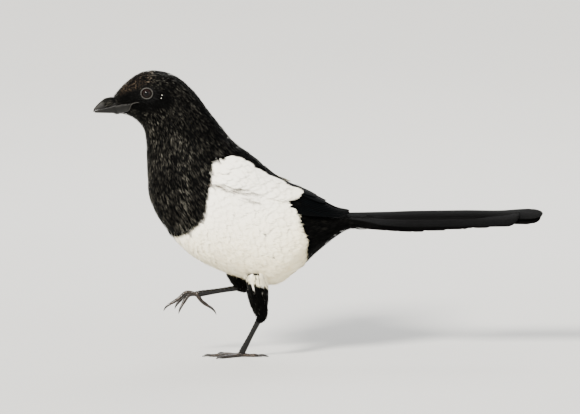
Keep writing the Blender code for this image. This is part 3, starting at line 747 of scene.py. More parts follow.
def closed_ends(u):
    """The share of a closed rod's size near its ends, so that both close to a point."""
    return np.sqrt(np.clip(1 - (2 * u - 1) ** 32, 0, 1))


def grid_map(piece, place_map):
    """Writes the unwrap of a grid from the two coordinates that its points keep."""
    mesh = piece.data
    corners = np.empty(len(mesh.loops), np.int32)
    mesh.loops.foreach_get("vertex_index", corners)
    u, v = kept_facts(mesh)[:2, corners]
    layer = mesh.uv_layers.new(name=BAKE_MAP)
    layer.data.foreach_set("uv", place_map(u, v).astype(np.float32).ravel())


def build_skin():
    def place(u, v):
        s, angle = SKIN_END * u, math.pi * (2 * v - 1)
        centre = 0.5 * (body(s, np.zeros_like(s)) + body(s, np.full_like(s, math.pi)))
        inside = lifted(body, s, angle, -coat_depth(s))
        return centre + (inside - centre) * closed_ends(u)[:, None]

    def thigh_place(side_name):
        rows = thigh_rows(side_name, THIGH_SKIN_DEPTH)

        def inner(u, v):
            at = along_rows(rows, u)
            return round_rows(at, at[:, 9] * closed_ends(u), 2 * math.pi * v)
        return inner

    skin = bent_grid("skin", 220, 96, place, "skin",
                     facts=lambda u, v: (SKIN_END * u, math.pi * (2 * v - 1), 0 * u))
    grid_map(skin, body_map)
    thighs = []
    for side_name in SIDES:
        thigh = bent_grid("thigh", 40, 32, thigh_place(side_name), "skin",
                          facts=lambda u, v: (u, 2 * math.pi * v - math.pi, 1 + 0 * u))
        grid_map(thigh, partial(thigh_map, side_name))
        thighs.append(thigh)
    united(skin, thighs)
    s, angle, on_thigh = kept_facts(skin.data)
    white = np.where(on_thigh < 0.5, is_white(s + SKIN_MARK_LEAD, angle), s < WHITE_THIGH_TOP)
    marking = skin.data.attributes.new("marking", "FLOAT_VECTOR", "POINT")
    marking.data.foreach_set("vector", np.repeat(white.astype(np.float32), 3))
    return dress(skin, "black_feathers", "head", "neck", "breast", "torso", "vent",
                 "thigh_left", "thigh_right")


skin = build_skin()
print("skin triangles:", sum(len(p.vertices) - 2 for p in skin.data.polygons))

# %% [markdown]
# A small feather
#
# A body feather is a fan of barbs that leave the shaft at a slant and end on a round outline.
# One barb here stands for a small clump of real ones: a narrow strip that tapers to a soft
# point. The strips overlap, and each is turned a little about its own length, which is what
# makes plumage glint in fine lines instead of shining like a shell.

# %% Feather prototypes
class Plume:
    """A prototype feather: points with x from 0 at its root to 1 at its tip, y from -1 to 1
    across it, and z its height, with the number of the barb each point belongs to."""

    def __init__(self, barbs, steps, taper, overlap, camber, rag, seed):
        rng = np.random.default_rng(seed)
        bm = bmesh.new()
        self.barb_of = []
        for k in range(barbs):
            q = (2 * k + 1) / barbs - 1 + rng.uniform(-0.25, 0.25) / barbs
            made = bmesh.ops.create_grid(bm, x_segments=steps, y_segments=1, size=0.5)["verts"]
            self.shape_barb(made, q, barbs, taper, overlap, camber, rag, rng)
            self.barb_of += [k] * len(made)
        bmesh.ops.triangulate(bm, faces=bm.faces)
        bm.verts.ensure_lookup_table()
        self.points = np.array([v.co for v in bm.verts])
        self.triangles = np.array([[v.index for v in f.verts] for f in bm.faces])
        bm.free()
        self.barb_of = np.array(self.barb_of)

    def shape_barb(self, verts, q, barbs, taper, overlap, camber, rag, rng):
        leave = 0.02 + 0.4 * (1 - abs(q)) ** 1.5
        reach = 1 - 0.34 * abs(q) ** 2.2 - rag * rng.random()
        twist = rng.uniform(-0.5, 0.5)
        height = 0.35 * (1 - abs(q)) + rng.uniform(-0.08, 0.08)
        half = overlap / barbs
        for vert in verts:
            t, side = vert.co.x + 0.5, math.copysign(1, vert.co.y)
            x = leave + (reach - leave) * t
            width = half * (0.55 + 0.45 * math.sin(math.pi * min(t * 1.1, 1.0)))
            width *= 1 - (1 - taper) * max(0.0, (t - 0.55) / 0.45) ** 1.6
            y = q * t ** 0.72 + side * width
            z = height * t - camber * y * y + side * twist * width
            vert.co = (x, y, z)


def plumes(count, *recipe):
    return [Plume(*recipe, seed) for seed in range(count)]


# %% [markdown]
# Laying a coat
#
# Roots are scattered evenly, at a distance that the place on the body sets, by keeping each
# chosen root's neighbours away. Each feather then walks from its root along the lie of the
# coat, which is rearwards from the bill. It starts under the surface and ends on it, so each
# one covers the root of the next.

# %% Scattering and laying
def scatter(surface, u_range, v_range, spacing, seed):
    """Evenly spread places on a surface. spacing(u, v) is the distance between them in mm."""
    rng = np.random.default_rng(seed)
    cells = 140
    u_edge, v_edge = (np.linspace(*r, cells + 1) for r in (u_range, v_range))
    u_mid, v_mid = np.meshgrid((u_edge[1:] + u_edge[:-1]) / 2, (v_edge[1:] + v_edge[:-1]) / 2)
    u_mid, v_mid = u_mid.ravel(), v_mid.ravel()
    by_u, by_v = slopes(surface, u_mid, v_mid)
    area = np.linalg.norm(np.cross(by_u, by_v), axis=-1)
    area *= (u_edge[1] - u_edge[0]) * (v_edge[1] - v_edge[0])
    wanted = area / spacing(u_mid, v_mid) ** 2
    tries = int(5 * wanted.sum())
    pick = rng.choice(len(wanted), tries, p=wanted / wanted.sum())
    u = u_mid[pick] + (rng.random(tries) - 0.5) * (u_edge[1] - u_edge[0])
    v = v_mid[pick] + (rng.random(tries) - 0.5) * (v_edge[1] - v_edge[0])
    points, reach = surface(u, v), spacing(u, v)
    tree = kdtree.KDTree(tries)
    for i, point in enumerate(points):
        tree.insert(point, i)
    tree.balance()
    free, kept = np.ones(tries, bool), []
    for i in range(tries):
        if free[i]:
            kept.append(i)
            for near in tree.find_range(points[i], reach[i]):
                free[near[1]] = False
    return u[kept], v[kept]


def steps_along(surface, u, v, direction):
    """How u and v change for 1 mm in a direction that lies along the surface."""
    by_u, by_v = slopes(surface, u, v)
    uu, uv, vv = ((a * b).sum(-1) for a, b in ((by_u, by_u), (by_u, by_v), (by_v, by_v)))
    du, dv = (direction * by_u).sum(-1), (direction * by_v).sum(-1)
    size = uu * vv - uv ** 2
    return (vv * du - uv * dv) / size, (uu * dv - uv * du) / size


def lie(surface, u, v):
    """The directions out, rearwards and to the side at places on a surface."""
    by_u, by_v = slopes(surface, u, v)
    up, rearwards = unit(np.cross(by_v, by_u)), unit(by_u)
    return up, rearwards, np.cross(up, rearwards)


def walk(surface, u, v, yaw):
    """How u and v change for 1 mm ahead and 1 mm to the side of a feather's root, and the
    direction to its side."""
    up, rearwards, sideways = lie(surface, u, v)
    turn = np.asarray(yaw)[:, None]
    ahead = np.cos(turn) * rearwards + np.sin(turn) * sideways
    across = np.cross(up, ahead)
    return steps_along(surface, u, v, ahead), steps_along(surface, u, v, across), across


class Coat:
    """Feathers gathered into one mesh."""

    def __init__(self, name, look, slot, seed):
        self.name, self.look, self.slot = name, look, slot
        self.rng = np.random.default_rng(seed)
        self.points, self.normals, self.triangles, self.uvs, self.facts = [], [], [], [], []
        self.count = 0

    def lay(self, surface, u, v, kinds, length, half_width, root, tip, puff, yaw, unwrap,
            glint, relief=None, after=None):
        """Lays a feather of one of the kinds at each (u, v). root and tip are heights above
        the surface and its relief, puff is how much the barbs stand apart, and glint is how
        much each barb leans to catch the light."""
        n = len(u)
        length, half_width, root, tip, puff, yaw = (
            np.broadcast_to(np.asarray(x, float), (n,)) for x in
            (length, half_width, root, tip, puff, yaw))
        (du_a, dv_a), (du_b, dv_b), across = walk(surface, u, v, yaw)
        which = self.rng.integers(0, len(kinds), n)
        shade = self.rng.random(n)
        origin = unwrap(u, v)
        for k, kind in enumerate(kinds):
            m = np.flatnonzero(which == k)
            if len(m) == 0:
                continue
            x, y, z = (kind.points[None, :, i] for i in range(3))
            ahead, side = x * length[m, None], y * half_width[m, None]
            at_u = u[m, None] + ahead * du_a[m, None] + side * du_b[m, None]
            at_v = v[m, None] + ahead * dv_a[m, None] + side * dv_b[m, None]
            height = root[m, None] + (tip - root)[m, None] * x ** 0.8 + z * puff[m, None]
            if relief:
                height = height + relief(at_u, at_v)
            up = normal(surface, at_u, at_v)
            points = surface(at_u, at_v) + height[..., None] * up
            if after:
                points = after(points)
            lean = self.rng.uniform(-1, 1, (len(m), kind.barb_of.max() + 1))[:, kind.barb_of]
            facing = up + (glint * lean + 0.15 * y)[..., None] * across[m, None, :]
            self.add(points, unit(facing), kind, lean, shade[m], origin[m])

    def add(self, points, facing, kind, lean, shade, origin):
        n, k = points.shape[:2]
        start = self.count + k * np.arange(n)
        self.points.append(points.reshape(-1, 3))
        self.normals.append(facing.reshape(-1, 3))
        self.triangles.append((kind.triangles[None] + start[:, None, None]).reshape(-1, 3))
        local = np.stack([kind.points[:, 0] - 0.5, kind.points[:, 1] * 0.5], axis=-1)
        self.uvs.append((origin[:, None] + BAKE_PATCH * local[None]).reshape(-1, 2))
        along = np.broadcast_to(kind.points[:, 0], (n, k))
        shade = np.broadcast_to(shade[:, None], (n, k))
        self.facts.append(np.stack([along, 0.5 + 0.5 * lean, shade], axis=-1).reshape(-1, 3))
        self.count += n * k

    def finish(self, *nodes):
        points = MM * np.concatenate(self.points)
        triangles = np.concatenate(self.triangles)
        mesh = bpy.data.meshes.new(self.name)
        mesh.vertices.add(len(points))
        mesh.vertices.foreach_set("co", points.astype(np.float32).ravel())
        mesh.loops.add(triangles.size)
        mesh.loops.foreach_set("vertex_index", triangles.astype(np.int32).ravel())
        mesh.polygons.add(len(triangles))
        mesh.polygons.foreach_set("loop_start", np.arange(0, triangles.size, 3, dtype=np.int32))
        mesh.update(calc_edges=True)
        layer = mesh.uv_layers.new(name=BAKE_MAP)
        uvs = np.concatenate(self.uvs)[triangles.ravel()]
        layer.data.foreach_set("uv", uvs.astype(np.float32).ravel())
        for name, rows in ((FEATHER_LOOK, self.facts), ("custom_normal", self.normals)):
            layer = mesh.attributes.new(name, "FLOAT_VECTOR", "POINT")
            layer.data.foreach_set("vector", np.concatenate(rows).astype(np.float32).ravel())
        mesh.shade_smooth()
        print(self.name, "triangles:", len(triangles))
        return dress(new_object(self.name, mesh, self.look), self.slot, *nodes)


# %% [markdown]
# The coat of the body
#
# Feathers are two or three millimetres long on the face, and grow to about eighteen on the
# flanks and the belly. The spacing follows the length, so that about three layers overlap
# everywhere. Those that reach the eye are pushed aside round its lids.

# %% Body feathers
LENGTHS = ((0.0, 2.6), (1.0, 3.2), (2.0, 4.0), (3.0, 5.2), (4.0, 7.0), (5.0, 8.5), (7.0, 10.5),
           (9.0, 13.0), (11.0, 15.0), (13.0, 15.0), (15.0, 13.0), (18.0, 12.0), (20.0, 10.0))
LID_CLEARANCE = 5.7
DENSITY, LEAST_SPACING = 0.235, 0.3
SHOULDER_SIDE = ((7.6, 47), (7.9, 46), (8.2, 41), (8.5, 38), (9.4, 35), (10.6, 32),
                 (11.6, 34))        # the line where the shoulder feathers begin
FACE_HORN = ((0.0, 84, 172), (0.5, 94, 152), (1.0, 99, 136), (1.25, 100, 122), (1.4, 101, 103))


def spacing_on_body(s, angle):
    return DENSITY * table_at(LENGTHS, s) + LEAST_SPACING


def relief(s, angle):
    """Where the coat stands higher: over the lower edge of the folded wing, along the upper
    edge of the shoulder, and on the folded wings above the rump."""
    degrees = degrees_round(angle)
    flank = 3.7 * ease((74 - degrees) / 22) * ease((s - 8.7) / 1.3) * ease((degrees - 20) / 8)
    mantle = 2.6 * ease((s - 8.2) / 1.2) * ease((27 - degrees) / 11) * ease(degrees / 14)
    return flank * ease((12.6 - s) / 1.2) + mantle * ease((11.3 - s) / 1.2)


def round_the_eyes(points):
    """Pushes points out of the round opening of each eye."""
    for side in (LEFT, RIGHT):
        centre = EYE_CENTRE * (1, side, 1)
        facing = EYE_FACING * (1, side, 1)
        offset = points - centre
        depth = (offset @ facing)[..., None]
        radial = offset - depth * facing
        away = np.linalg.norm(radial, axis=-1, keepdims=True)
        near = (away < LID_CLEARANCE) & (depth > -2.0)
        pushed = points + radial / np.maximum(away, 0.3) * (LID_CLEARANCE - away)
        points = np.where(near, pushed, points)
    return points


def eye_distance(s, angle):
    points = body(s, angle)
    best = np.full(np.shape(s), 1e9)
    for side in (LEFT, RIGHT):
        centre = EYE_CENTRE * (1, side, 1)
        best = np.minimum(best, np.linalg.norm(points - centre, axis=-1))
    return best


def bare_face(s, degrees, inset=0.0):
    """True on the horn that runs back from the lower half of the bill to the mouth's corner."""
    ribs, tops, lows = zip(*FACE_HORN)
    return ((s < ribs[-1] - 0.1) & (degrees > np.interp(s, ribs, tops) + inset)
            & (degrees < np.interp(s, ribs, lows) - inset))


def coat_roots(white, seed):
    """Rib, angle, length, width and yaw of all feathers of one colour, each cut to length where
    its colour ends."""
    s, angle = scatter(body, (0.02, 19.6), (-math.pi, math.pi), spacing_on_body, seed)
    rng = np.random.default_rng(seed + 1)
    length = table_at(LENGTHS, s) * rng.uniform(0.78, 1.2, len(s))
    length *= 0.5 + 0.5 * ease((eye_distance(s, angle) - 6.0) / 8.0)
    yaw = rng.normal(0.0, 0.13, len(s))
    per_mm = walk(body, s, angle, yaw)[0][0]
    degrees = degrees_round(angle)
    bib, vent = table_at(BIB_EDGE, degrees), table_at(VENT_EDGE, degrees)
    above = degrees < table_at(SHOULDER_SIDE, s)
    hidden = (0.3 if white else 0.55) * length * per_mm
    if white:
        keep = (s > bib - hidden) & (s < vent) & ~above
        room = (vent - s) / per_mm + rng.normal(0.0, 1.2, len(s))
    else:
        keep = (s < bib) | (s > vent - hidden) | above
        room = np.where((s < bib) & ~above, (bib - s) / per_mm + rng.normal(0, 0.3, len(s)), 1e9)
    keep &= (room > 0.25 * length) & (eye_distance(s, angle) > EYE_RADIUS + 0.8)
    keep &= ~bare_face(s, degrees, 3.0)
    shown = np.minimum(length, room)
    width = 0.5 * (length + shown) * (0.36 if white else 0.27)
    return np.stack([s, angle, shown, width, yaw])[:, keep]


BODY_PLUMES = {     # how many, then barbs, steps, taper, overlap, camber, rag
    "tiny": (5, 6, 2, 0.25, 1.2, 0.05, 0.15),
    "silky": (8, 14, 2, 0.12, 1.15, 0.06, 0.25),
    "soft": (8, 10, 3, 0.1, 1.6, 0.05, 0.25),
}
COATS = (           # name, colour, kind of feather, first and last rib
    ("coat_head", "black", "tiny", 0.0, 4.0), ("coat_neck", "black", "silky", 4.0, 7.0),
    ("coat_bib", "black", "silky", 7.0, 9.5), ("coat_rear", "black", "silky", 9.5, 20.0),
    ("coat_breast_white", "white", "soft", 7.0, 10.6),
    ("coat_belly_white", "white", "soft", 10.6, 14.0))
COAT_GLINT = {"black": 0.38, "white": 0.10}


def build_body_coats():
    kinds = {name: plumes(*recipe) for name, recipe in BODY_PLUMES.items()}
    roots = {"black": coat_roots(False, 11), "white": coat_roots(True, 16)}
    for seed, (name, tint, kind, low, high) in enumerate(COATS):
        rows = roots[tint]
        s, angle, length, width, yaw = rows[:, (rows[0] >= low) & (rows[0] < high)]
        coat = Coat(name, tint, f"{tint}_feathers", 20 + seed)
        coat.lay(body, s, angle, kinds[kind], length, width, -0.6 * coat_depth(s),
                 0.2 + 0.25 * coat.rng.random(len(s)), 0.06 * length ** 0.7, yaw, body_map,
                 COAT_GLINT[tint], relief, round_the_eyes)
        coat.finish()


build_body_coats()

# %% [markdown]
# Loose hairs and flecks
#
# Between the shoulder and the flank a few dark hairy barbs of the down lie over the white, and
# some tiny pale feathers stand out behind the eye. Both are laid along a line on the body.

# %% Loose hairs and flecks
SMUDGES = (     # start and end, each (rib, degrees), and how many on each side
    ((8.12, 77.5), (9.2, 63.0), 46), ((8.9, 66.0), (9.75, 54.0), 34),
    ((9.2, 68.0), (9.9, 60.0), 16))
PALE_FLECKS = ((3.5, 67.5), (3.53, 73.0), 2)


def heading(surface, u, v, du, dv):
    """The yaw of a feather that is to point the way that (du, dv) leads."""
    by_u, by_v = slopes(surface, u, v)
    ahead = np.asarray(du)[..., None] * by_u + np.asarray(dv)[..., None] * by_v
    up, rearwards, sideways = lie(surface, u, v)
    return np.arctan2((ahead * sideways).sum(-1), (ahead * rearwards).sum(-1))


def on_line(start, end, share):
    """The rib and the degrees at a share of the way from one place to another."""
    return (a + share * (b - a) for a, b in zip(start, end))


def build_loose_feathers():
    hair = plumes(5, 3, 4, 0.1, 0.16, 0.0, 0.3)
    tiny = plumes(3, 5, 2, 0.3, 1.3, 0.05, 0.1)
    down = Coat("loose_down", "smudge", "white_feathers", 70)
    flecks = Coat("pale_flecks", "white", "black_feathers", 71)
    for side in SIDES.values():
        for start, end, count in SMUDGES:
            s, degrees = on_line(start, end, down.rng.random(count))
            angle = angle_at(side, degrees + down.rng.normal(0, 1.3, count))
            turn = angle_at(side, end[1] - start[1])
            yaw = heading(body, s, angle, end[0] - start[0] + 0 * s, turn + 0 * s)
            length = down.rng.uniform(6.0, 15.0, count)
            down.lay(body, s, angle, hair, length, 0.07 * length, 0.5, 0.9, 0.4,
                     yaw + down.rng.normal(0, 0.16, count), body_map, 0.3, relief)
        start, end, count = PALE_FLECKS
        s, degrees = on_line(start, end, np.linspace(0, 1, count))
        flecks.lay(body, s, angle_at(side, degrees), tiny, 0.9, 0.32, 0.1, 0.75, 0.1,
                   flecks.rng.normal(0.4, 0.3, count), body_map, 0.3)
    down.finish()
    flecks.finish()


build_loose_feathers()

# %% [markdown]
# Soft edges between the colours
#
# Where two colours meet, single barbs of the front colour reach out over the one behind it, and
# the belly's feathers end in loose barbs too. Without them the edges would look cut out.

# %% Loose barbs along the edges
EDGE_BARBS = (      # name, look, slot, edge, barbs on each side, lengths, share past the edge
    ("edge_bib", "black", "black_feathers", BIB_EDGE, 520, (4.0, 8.0), 0.3),
    ("edge_rear", "white", "white_feathers", VENT_EDGE, 420, (6.0, 12.0), 0.35))
EDGE_START = 50.0       # degrees from the back
BELLY_BARBS = (700, (9.3, 12.3), (110.0, 180.0), (6.0, 11.0))   # count, ribs, degrees, lengths


def build_edge_barbs():
    hair = plumes(6, 3, 3, 0.1, 0.3, 0.0, 0.4)
    for seed, (name, look, slot, edge, count, lengths, past) in enumerate(EDGE_BARBS):
        coat = Coat(name, look, slot, 80 + seed)
        for side in SIDES.values():
            degrees = coat.rng.uniform(EDGE_START, 180.0, count)
            s, angle = table_at(edge, degrees), angle_at(side, degrees)
            length = coat.rng.uniform(*lengths, count)
            yaw = coat.rng.normal(0.0, 0.22, count)
            per_mm = walk(body, s, angle, yaw)[0][0]
            coat.lay(body, s - (1 - past) * length * per_mm, angle, hair, length, 0.1 * length,
                     -0.5, 0.4 + 0.8 * coat.rng.random(count), 0.3, yaw, body_map, 0.3, relief)
        if look == "white":
            for side in SIDES.values():
                count, ribs, degrees, lengths = BELLY_BARBS
                length = coat.rng.uniform(*lengths, count)
                coat.lay(body, coat.rng.uniform(*ribs, count),
                         angle_at(side, coat.rng.uniform(*degrees, count)), hair, length,
                         0.1 * length, -0.5, 0.5 + 1.4 * coat.rng.random(count), 0.3,
                         coat.rng.normal(0.0, 0.25, count), body_map, 0.2)
        coat.finish()


build_edge_barbs()

# %% [markdown]
# Thighs
#
# The black feathers of the thigh hang like short trousers down to the ankle. They are laid on
# the thigh's own surface, along it and round it, loose and a little ruffled. White feathers of
# the belly hang over the top of each thigh.

# %% Thigh feathers
THIGH_COAT = (0.19, 0.93)           # where on the thigh its black feathers are rooted
FRINGE_ROOTS = (0.06, 0.19)         # how far down the thigh the fringe is rooted, front and rear
FRINGE_LENGTH = {"left": 7.2, "right": 6.0}
FRINGE_REACH = 2.1                  # how far round the thigh from its outside, as an angle


def build_thigh_coat():
    kinds = plumes(5, 7, 3, 0.12, 1.1, 0.05, 0.3)
    soft = plumes(6, 8, 3, 0.08, 1.0, 0.05, 0.45)
    coat = Coat("coat_thighs", "black", "black_feathers", 31)
    fringe = Coat("coat_thigh_fringe", "white", "white_feathers", 34)
    for side_name, side in SIDES.items():
        surface = rod(thigh_rows(side_name))
        unwrap = partial(thigh_map, side_name)
        t, angle = scatter(surface, THIGH_COAT, (-math.pi, math.pi),
                           lambda u, v: 1.9 - 0.9 * u, 32)
        rng = np.random.default_rng(33)
        length = (9.0 - 5.0 * t) * rng.uniform(0.8, 1.2, len(t))
        coat.lay(surface, t, angle, kinds, length, 0.26 * length, -1.2 + 0.8 * t,
                 0.1 + 1.1 * rng.random(len(t)) ** 1.5, 0.09 * length,
                 rng.normal(0.0, 0.2, len(t)), unwrap, 0.5)
        outside = side * math.pi / 2
        t, angle = scatter(surface, (0.0, FRINGE_ROOTS[1]),
                           (outside - FRINGE_REACH, outside + FRINGE_REACH),
                           lambda u, v: 1.3 + 0 * u, 35)
        rear = 0.5 - 0.5 * np.cos(angle)
        keep = t < FRINGE_ROOTS[0] + (FRINGE_ROOTS[1] - FRINGE_ROOTS[0]) * rear
        t, angle, rear = t[keep], angle[keep], rear[keep]
        length = FRINGE_LENGTH[side_name] * (0.6 + 0.5 * rear) * rng.uniform(0.55, 1.15, len(t))
        fringe.lay(surface, t, angle, soft, length, 0.17 * length, -2.4,
                   0.8 + 0.9 * rng.random(len(t)), 0.6, rng.normal(0.0, 0.2, len(t)), unwrap,
                   0.1)
    coat.finish()
    fringe.finish()


build_thigh_coat()

# %% [markdown]
# A large feather
#
# The large feathers of the wing and the tail are closed vanes: one thin curved sheet on each
# side of a raised shaft, rounded at the tip, with a few small splits along its edges where the
# barbs have come unhooked. Each starts as a grid and is bent over the body, and is then given
# a real thickness.

# %% Vanes
VANE_THICKNESS = 0.22
SHAFT_RISE, SHAFT_WIDTH = 0.35, 0.45
LEAST_WIDTH = 0.02


def vane_width(t, root_share=0.55, roundness=0.38, growth=0.4):
    """Width along a feather, as a share of the full width."""
    grow = root_share + (1 - root_share) * ease(t / growth)
    end = np.clip((t - (1 - roundness)) / roundness, 0, 1)
    return grow * np.sqrt(np.clip(1 - end ** 2, 0.0, 1))


def vane_piece(name, place, length, half_width, look, seed, along=26, across=10, splits=3,
               shape=()):
    """One vane. place(t, y) gives the point at the share t along it and y mm across it, and
    the direction that its upper face looks."""
    rng = np.random.default_rng(seed)
    cuts = [(rng.uniform(0.45, 0.95), rng.choice((-1.0, 1.0))) for k in range(splits)]

    def width_at(t, side):
        width = half_width * vane_width(t, *shape)
        for cut, edge in cuts:
            notch = np.exp(-((t - cut) / 0.008) ** 2) * (side * edge > 0)
            width = width * (1 - 0.07 * notch)
        return width

    def flat(u, v):
        """The share along the vane, the share across it, and its half width there."""
        side, t = 2 * v - 1, 1 - (1 - u) ** 1.25
        return t, np.sign(side) * np.abs(side) ** 0.85, width_at(t, side)

    def bend(u, v):
        t, across, width = flat(u, v)
        y = across * np.maximum(width, LEAST_WIDTH)
        points, up = place(t, y)
        ridge = SHAFT_RISE * np.exp(-(y / SHAFT_WIDTH) ** 2) * (1 - 0.75 * t)
        return points + ridge[:, None] * up

    tone = rng.random()

    def facts(u, v):
        t, across, width = flat(u, v)
        return length * t, across * width, tone + 0 * t

    vane = bent_grid(name, along, across, bend, look, close=False, facts=facts)
    thick = vane.modifiers.new("thickness", "SOLIDIFY")
    thick.thickness = VANE_THICKNESS * MM
    thick.offset = -1.0
    graph = bpy.context.evaluated_depsgraph_get()
    solid = bpy.data.meshes.new_from_object(vane.evaluated_get(graph))
    vane.modifiers.clear()
    vane.data = solid
    return vane


def roof(s, angle):
    """Folded wings stand clear of the rump along the middle of the back."""
    return 3.0 * ease((s - 10.4) / 1.6) * (1 - ease((np.degrees(angle) - 8) / 26))


def vane_on_body(name, root, tip, half_width, heights, tilt, side, look, seed, **sizes):
    """A vane on the body from root to tip, each (rib, degrees). heights gives its middle's
    height at root and tip, and tilt raises its lower edge over the next feather."""
    root = np.array((root[0], math.radians(root[1])))
    tip = np.array((tip[0], math.radians(tip[1])))
    track = root + (tip - root) * np.linspace(0, 1, 30)[:, None]
    line = body(track[:, 0], track[:, 1])
    length = float(np.linalg.norm(np.diff(line, axis=0), axis=1).sum())

    def place(t, y):
        s, angle = (root[i] + (tip[i] - root[i]) * t for i in (0, 1))
        ahead = body(s + 0.01 * (tip[0] - root[0]), angle + 0.01 * (tip[1] - root[1]))
        ahead = unit(ahead - body(s, angle))
        up = normal(body, s, angle)
        down = np.cross(ahead, up)
        ribs, turn = steps_along(body, s, angle, down)
        at_s, at_angle = s + ribs * y, angle + turn * y
        height = heights[0] + (heights[1] - heights[0]) * ease(t) + tilt * y
        height = height + roof(at_s, at_angle)
        points = lifted(body, at_s, at_angle, height)
        flip = np.array((1.0, -side, 1.0))
        return points * flip, normal(body, at_s, at_angle) * flip

    return vane_piece(name, place, length, half_width, look, seed, **sizes)


# %% [markdown]
# Wings and shoulders
#
# The folded wing shows only its rear: tertials on top, then the edges of the secondaries and
# primaries, stacked so that each lies over the next below. The white shoulder feathers cover
# its front in tiers, like tiles, and the white flank feathers come up over its lower edge.

# %% Wing feathers
WING_TIPS = ((12.4, 12), (13.1, 15), (13.8, 19), (14.75, 23), (13.1, 34))
TERTIALS = (((9.7, 11), (12.3, 10)), ((9.8, 15), (12.9, 12)))       # root and tip of each
TERTIAL_HEIGHTS = (2.4, 4.0)
WING_ROOTS = ((9.9, 16), (10.1, 46))
WING_FEATHERS = 13
WING_HALF_WIDTH = (4.4, 6.4)        # of the uppermost and the lowest
WING_SHAPE = (0.55, 0.7, 0.4)
WING_HEIGHTS = (1.2, 2.7)
SHOULDER_TOP = ((7.88, 50), (8.45, 36), (9.4, 26), (10.4, 21), (11.1, 19))
SHOULDER_LOW = ((8.15, 70), (8.9, 60), (9.7, 50), (10.5, 42), (11.0, 33))
SHOULDER_REAR = ((8, 11.78), (22, 11.62), (36, 11.15))     # where its feathers end
SHOULDER_SPACING = 3.3
SHOULDER_LENGTH = (15.0, 24.0)      # at the front and at the rear
SHOULDER_SPAN = 105.0               # from the front of the patch to its rear end


def build_wing(side_name, side):
    vanes = []
    for k in range(WING_FEATHERS):
        q = 1 - k / (WING_FEATHERS - 1)
        root = (1 - q) * np.array(WING_ROOTS[0]) + q * np.array(WING_ROOTS[1])
        tip = along_rows(np.array(WING_TIPS, float), q)
        heights = (WING_HEIGHTS[0], WING_HEIGHTS[1] + 0.5 * (1 - q))
        width = WING_HALF_WIDTH[0] + (WING_HALF_WIDTH[1] - WING_HALF_WIDTH[0]) * q
        vanes.append(vane_on_body("vane", root, tip, width, heights, 0.2, side, "wing", 40 + k,
                                  shape=WING_SHAPE))
    for k, (root, tip) in enumerate(TERTIALS):
        vanes.append(vane_on_body("vane", root, tip, 5.5, TERTIAL_HEIGHTS, 0.15, side, "wing",
                                  60 + k))
    wing = joined(f"wing_feathers_{side_name}", vanes)
    dress(wing, "flight_feathers", f"wing_{side_name}")


def shoulder_height(p, q):
    rim = ease(p / 0.25) * np.maximum(ease(q / 0.35), ease((p - 0.4) / 0.25))
    return 1.3 + 2.6 * rim + 1.3 * ease((p - 0.5) / 0.3)


def shoulder_place(side):
    """The body's coordinates at p along the shoulder patch and q across it."""
    top, low = np.array(SHOULDER_TOP, float), np.array(SHOULDER_LOW, float)

    def place(p, q):
        mixed = (1 - q)[..., None] * along_rows(top, p) + q[..., None] * along_rows(low, p)
        return mixed[..., 0], angle_at(side, mixed[..., 1])
    return place


def build_shoulder(side_name, side):
    place = shoulder_place(side)

    def patch(p, q):
        return body(*place(p, q))

    p, q = scatter(patch, (0.0, 0.86), (0.0, 1.0), lambda u, v: SHOULDER_SPACING + 0 * u, 60)
    s, angle = place(p, q)
    next_s, next_angle = place(np.minimum(p + 1e-3, 1), q)
    rng = np.random.default_rng(61)
    yaw = heading(body, s, angle, next_s - s, next_angle - angle) + rng.normal(0, 0.05, len(p))
    length = SHOULDER_LENGTH[0] + (SHOULDER_LENGTH[1] - SHOULDER_LENGTH[0]) * p
    length *= rng.uniform(0.88, 1.1, len(p))
    per_mm, turn = walk(body, s, angle, yaw)[0]
    for again in range(2):
        end = s + length * per_mm
        limit = table_at(SHOULDER_REAR, degrees_round(angle + length * turn))
        length = np.where(end > limit, (limit - s) / per_mm, length)
    keep = length > 5.0
    p, q, s, angle, yaw, length = (x[keep] for x in (p, q, s, angle, yaw, length))
    reach = np.minimum(p + length / SHOULDER_SPAN, 1.0)
    closed = plumes(6, 15, 4, 0.2, 2.0, 0.04, 0.06)
    coat = Coat(f"shoulder_feathers_{side_name}", "white", "white_feathers", 62)
    coat.lay(body, s, angle, closed, length, 0.24 * length, shoulder_height(p, q) - 2.2,
             shoulder_height(reach, q) + 0.4 + 0.5 * rng.random(len(p)), 0.35,
             yaw + rng.normal(0, 0.05, len(p)), body_map, 0.07,
             lambda u, v: roof(u, np.abs(v)))
    coat.finish(f"scapulars_{side_name}")


for side_name, side in SIDES.items():
    build_wing(side_name, side)
    build_shoulder(side_name, side)
print("wing feathers on each side:", WING_FEATHERS)

# %% [markdown]
# The tail
#
# Twelve feathers in six pairs: the middle pair is longest and lies on top, and each pair below
# it is shorter, so that their tips make steps under the tail. Closed, the tail is a long flat
# wedge only a little wider than one feather.

# %% Tail feathers
TAIL_PAIRS = 6
TAIL_TIP_X = 281.0
TAIL_STEP = 21.5
TAIL_TOP_Z = (135.2, 137.6)
TAIL_ROLL, TAIL_TIP_ROLL = 12.0, 14.0
TAIL_TIP_DROP = 3.9
TAIL_SLOPE, TAIL_CROWN_SLOPE = 14.0, 4.0
TAIL_HALF_WIDTH = 10.5
TAIL_PITCH = 1.0
TAIL_SHAPE = (0.5, 0.08, 0.22)  # a vane's width at its root, the length of its round tip, and
                                # how soon it reaches its full width
TAIL_CAMBER, TAIL_CROWN_CAMBER = 0.12, 0.34
TAIL_START_X = 104.0
TAIL_ROOT_X, TAIL_ROOT_STEP = 97.0, 1.5     # of the middle pair, and between pairs
TAIL_TWIST = (205.0, 75.0)      # where the middle pair starts to twist, and over what length
TAIL_FLATTEN = (225.0, 50.0)    # the same for its camber, which goes
TAIL_UNEVEN = 2.0               # how much shorter the lower of the middle pair is


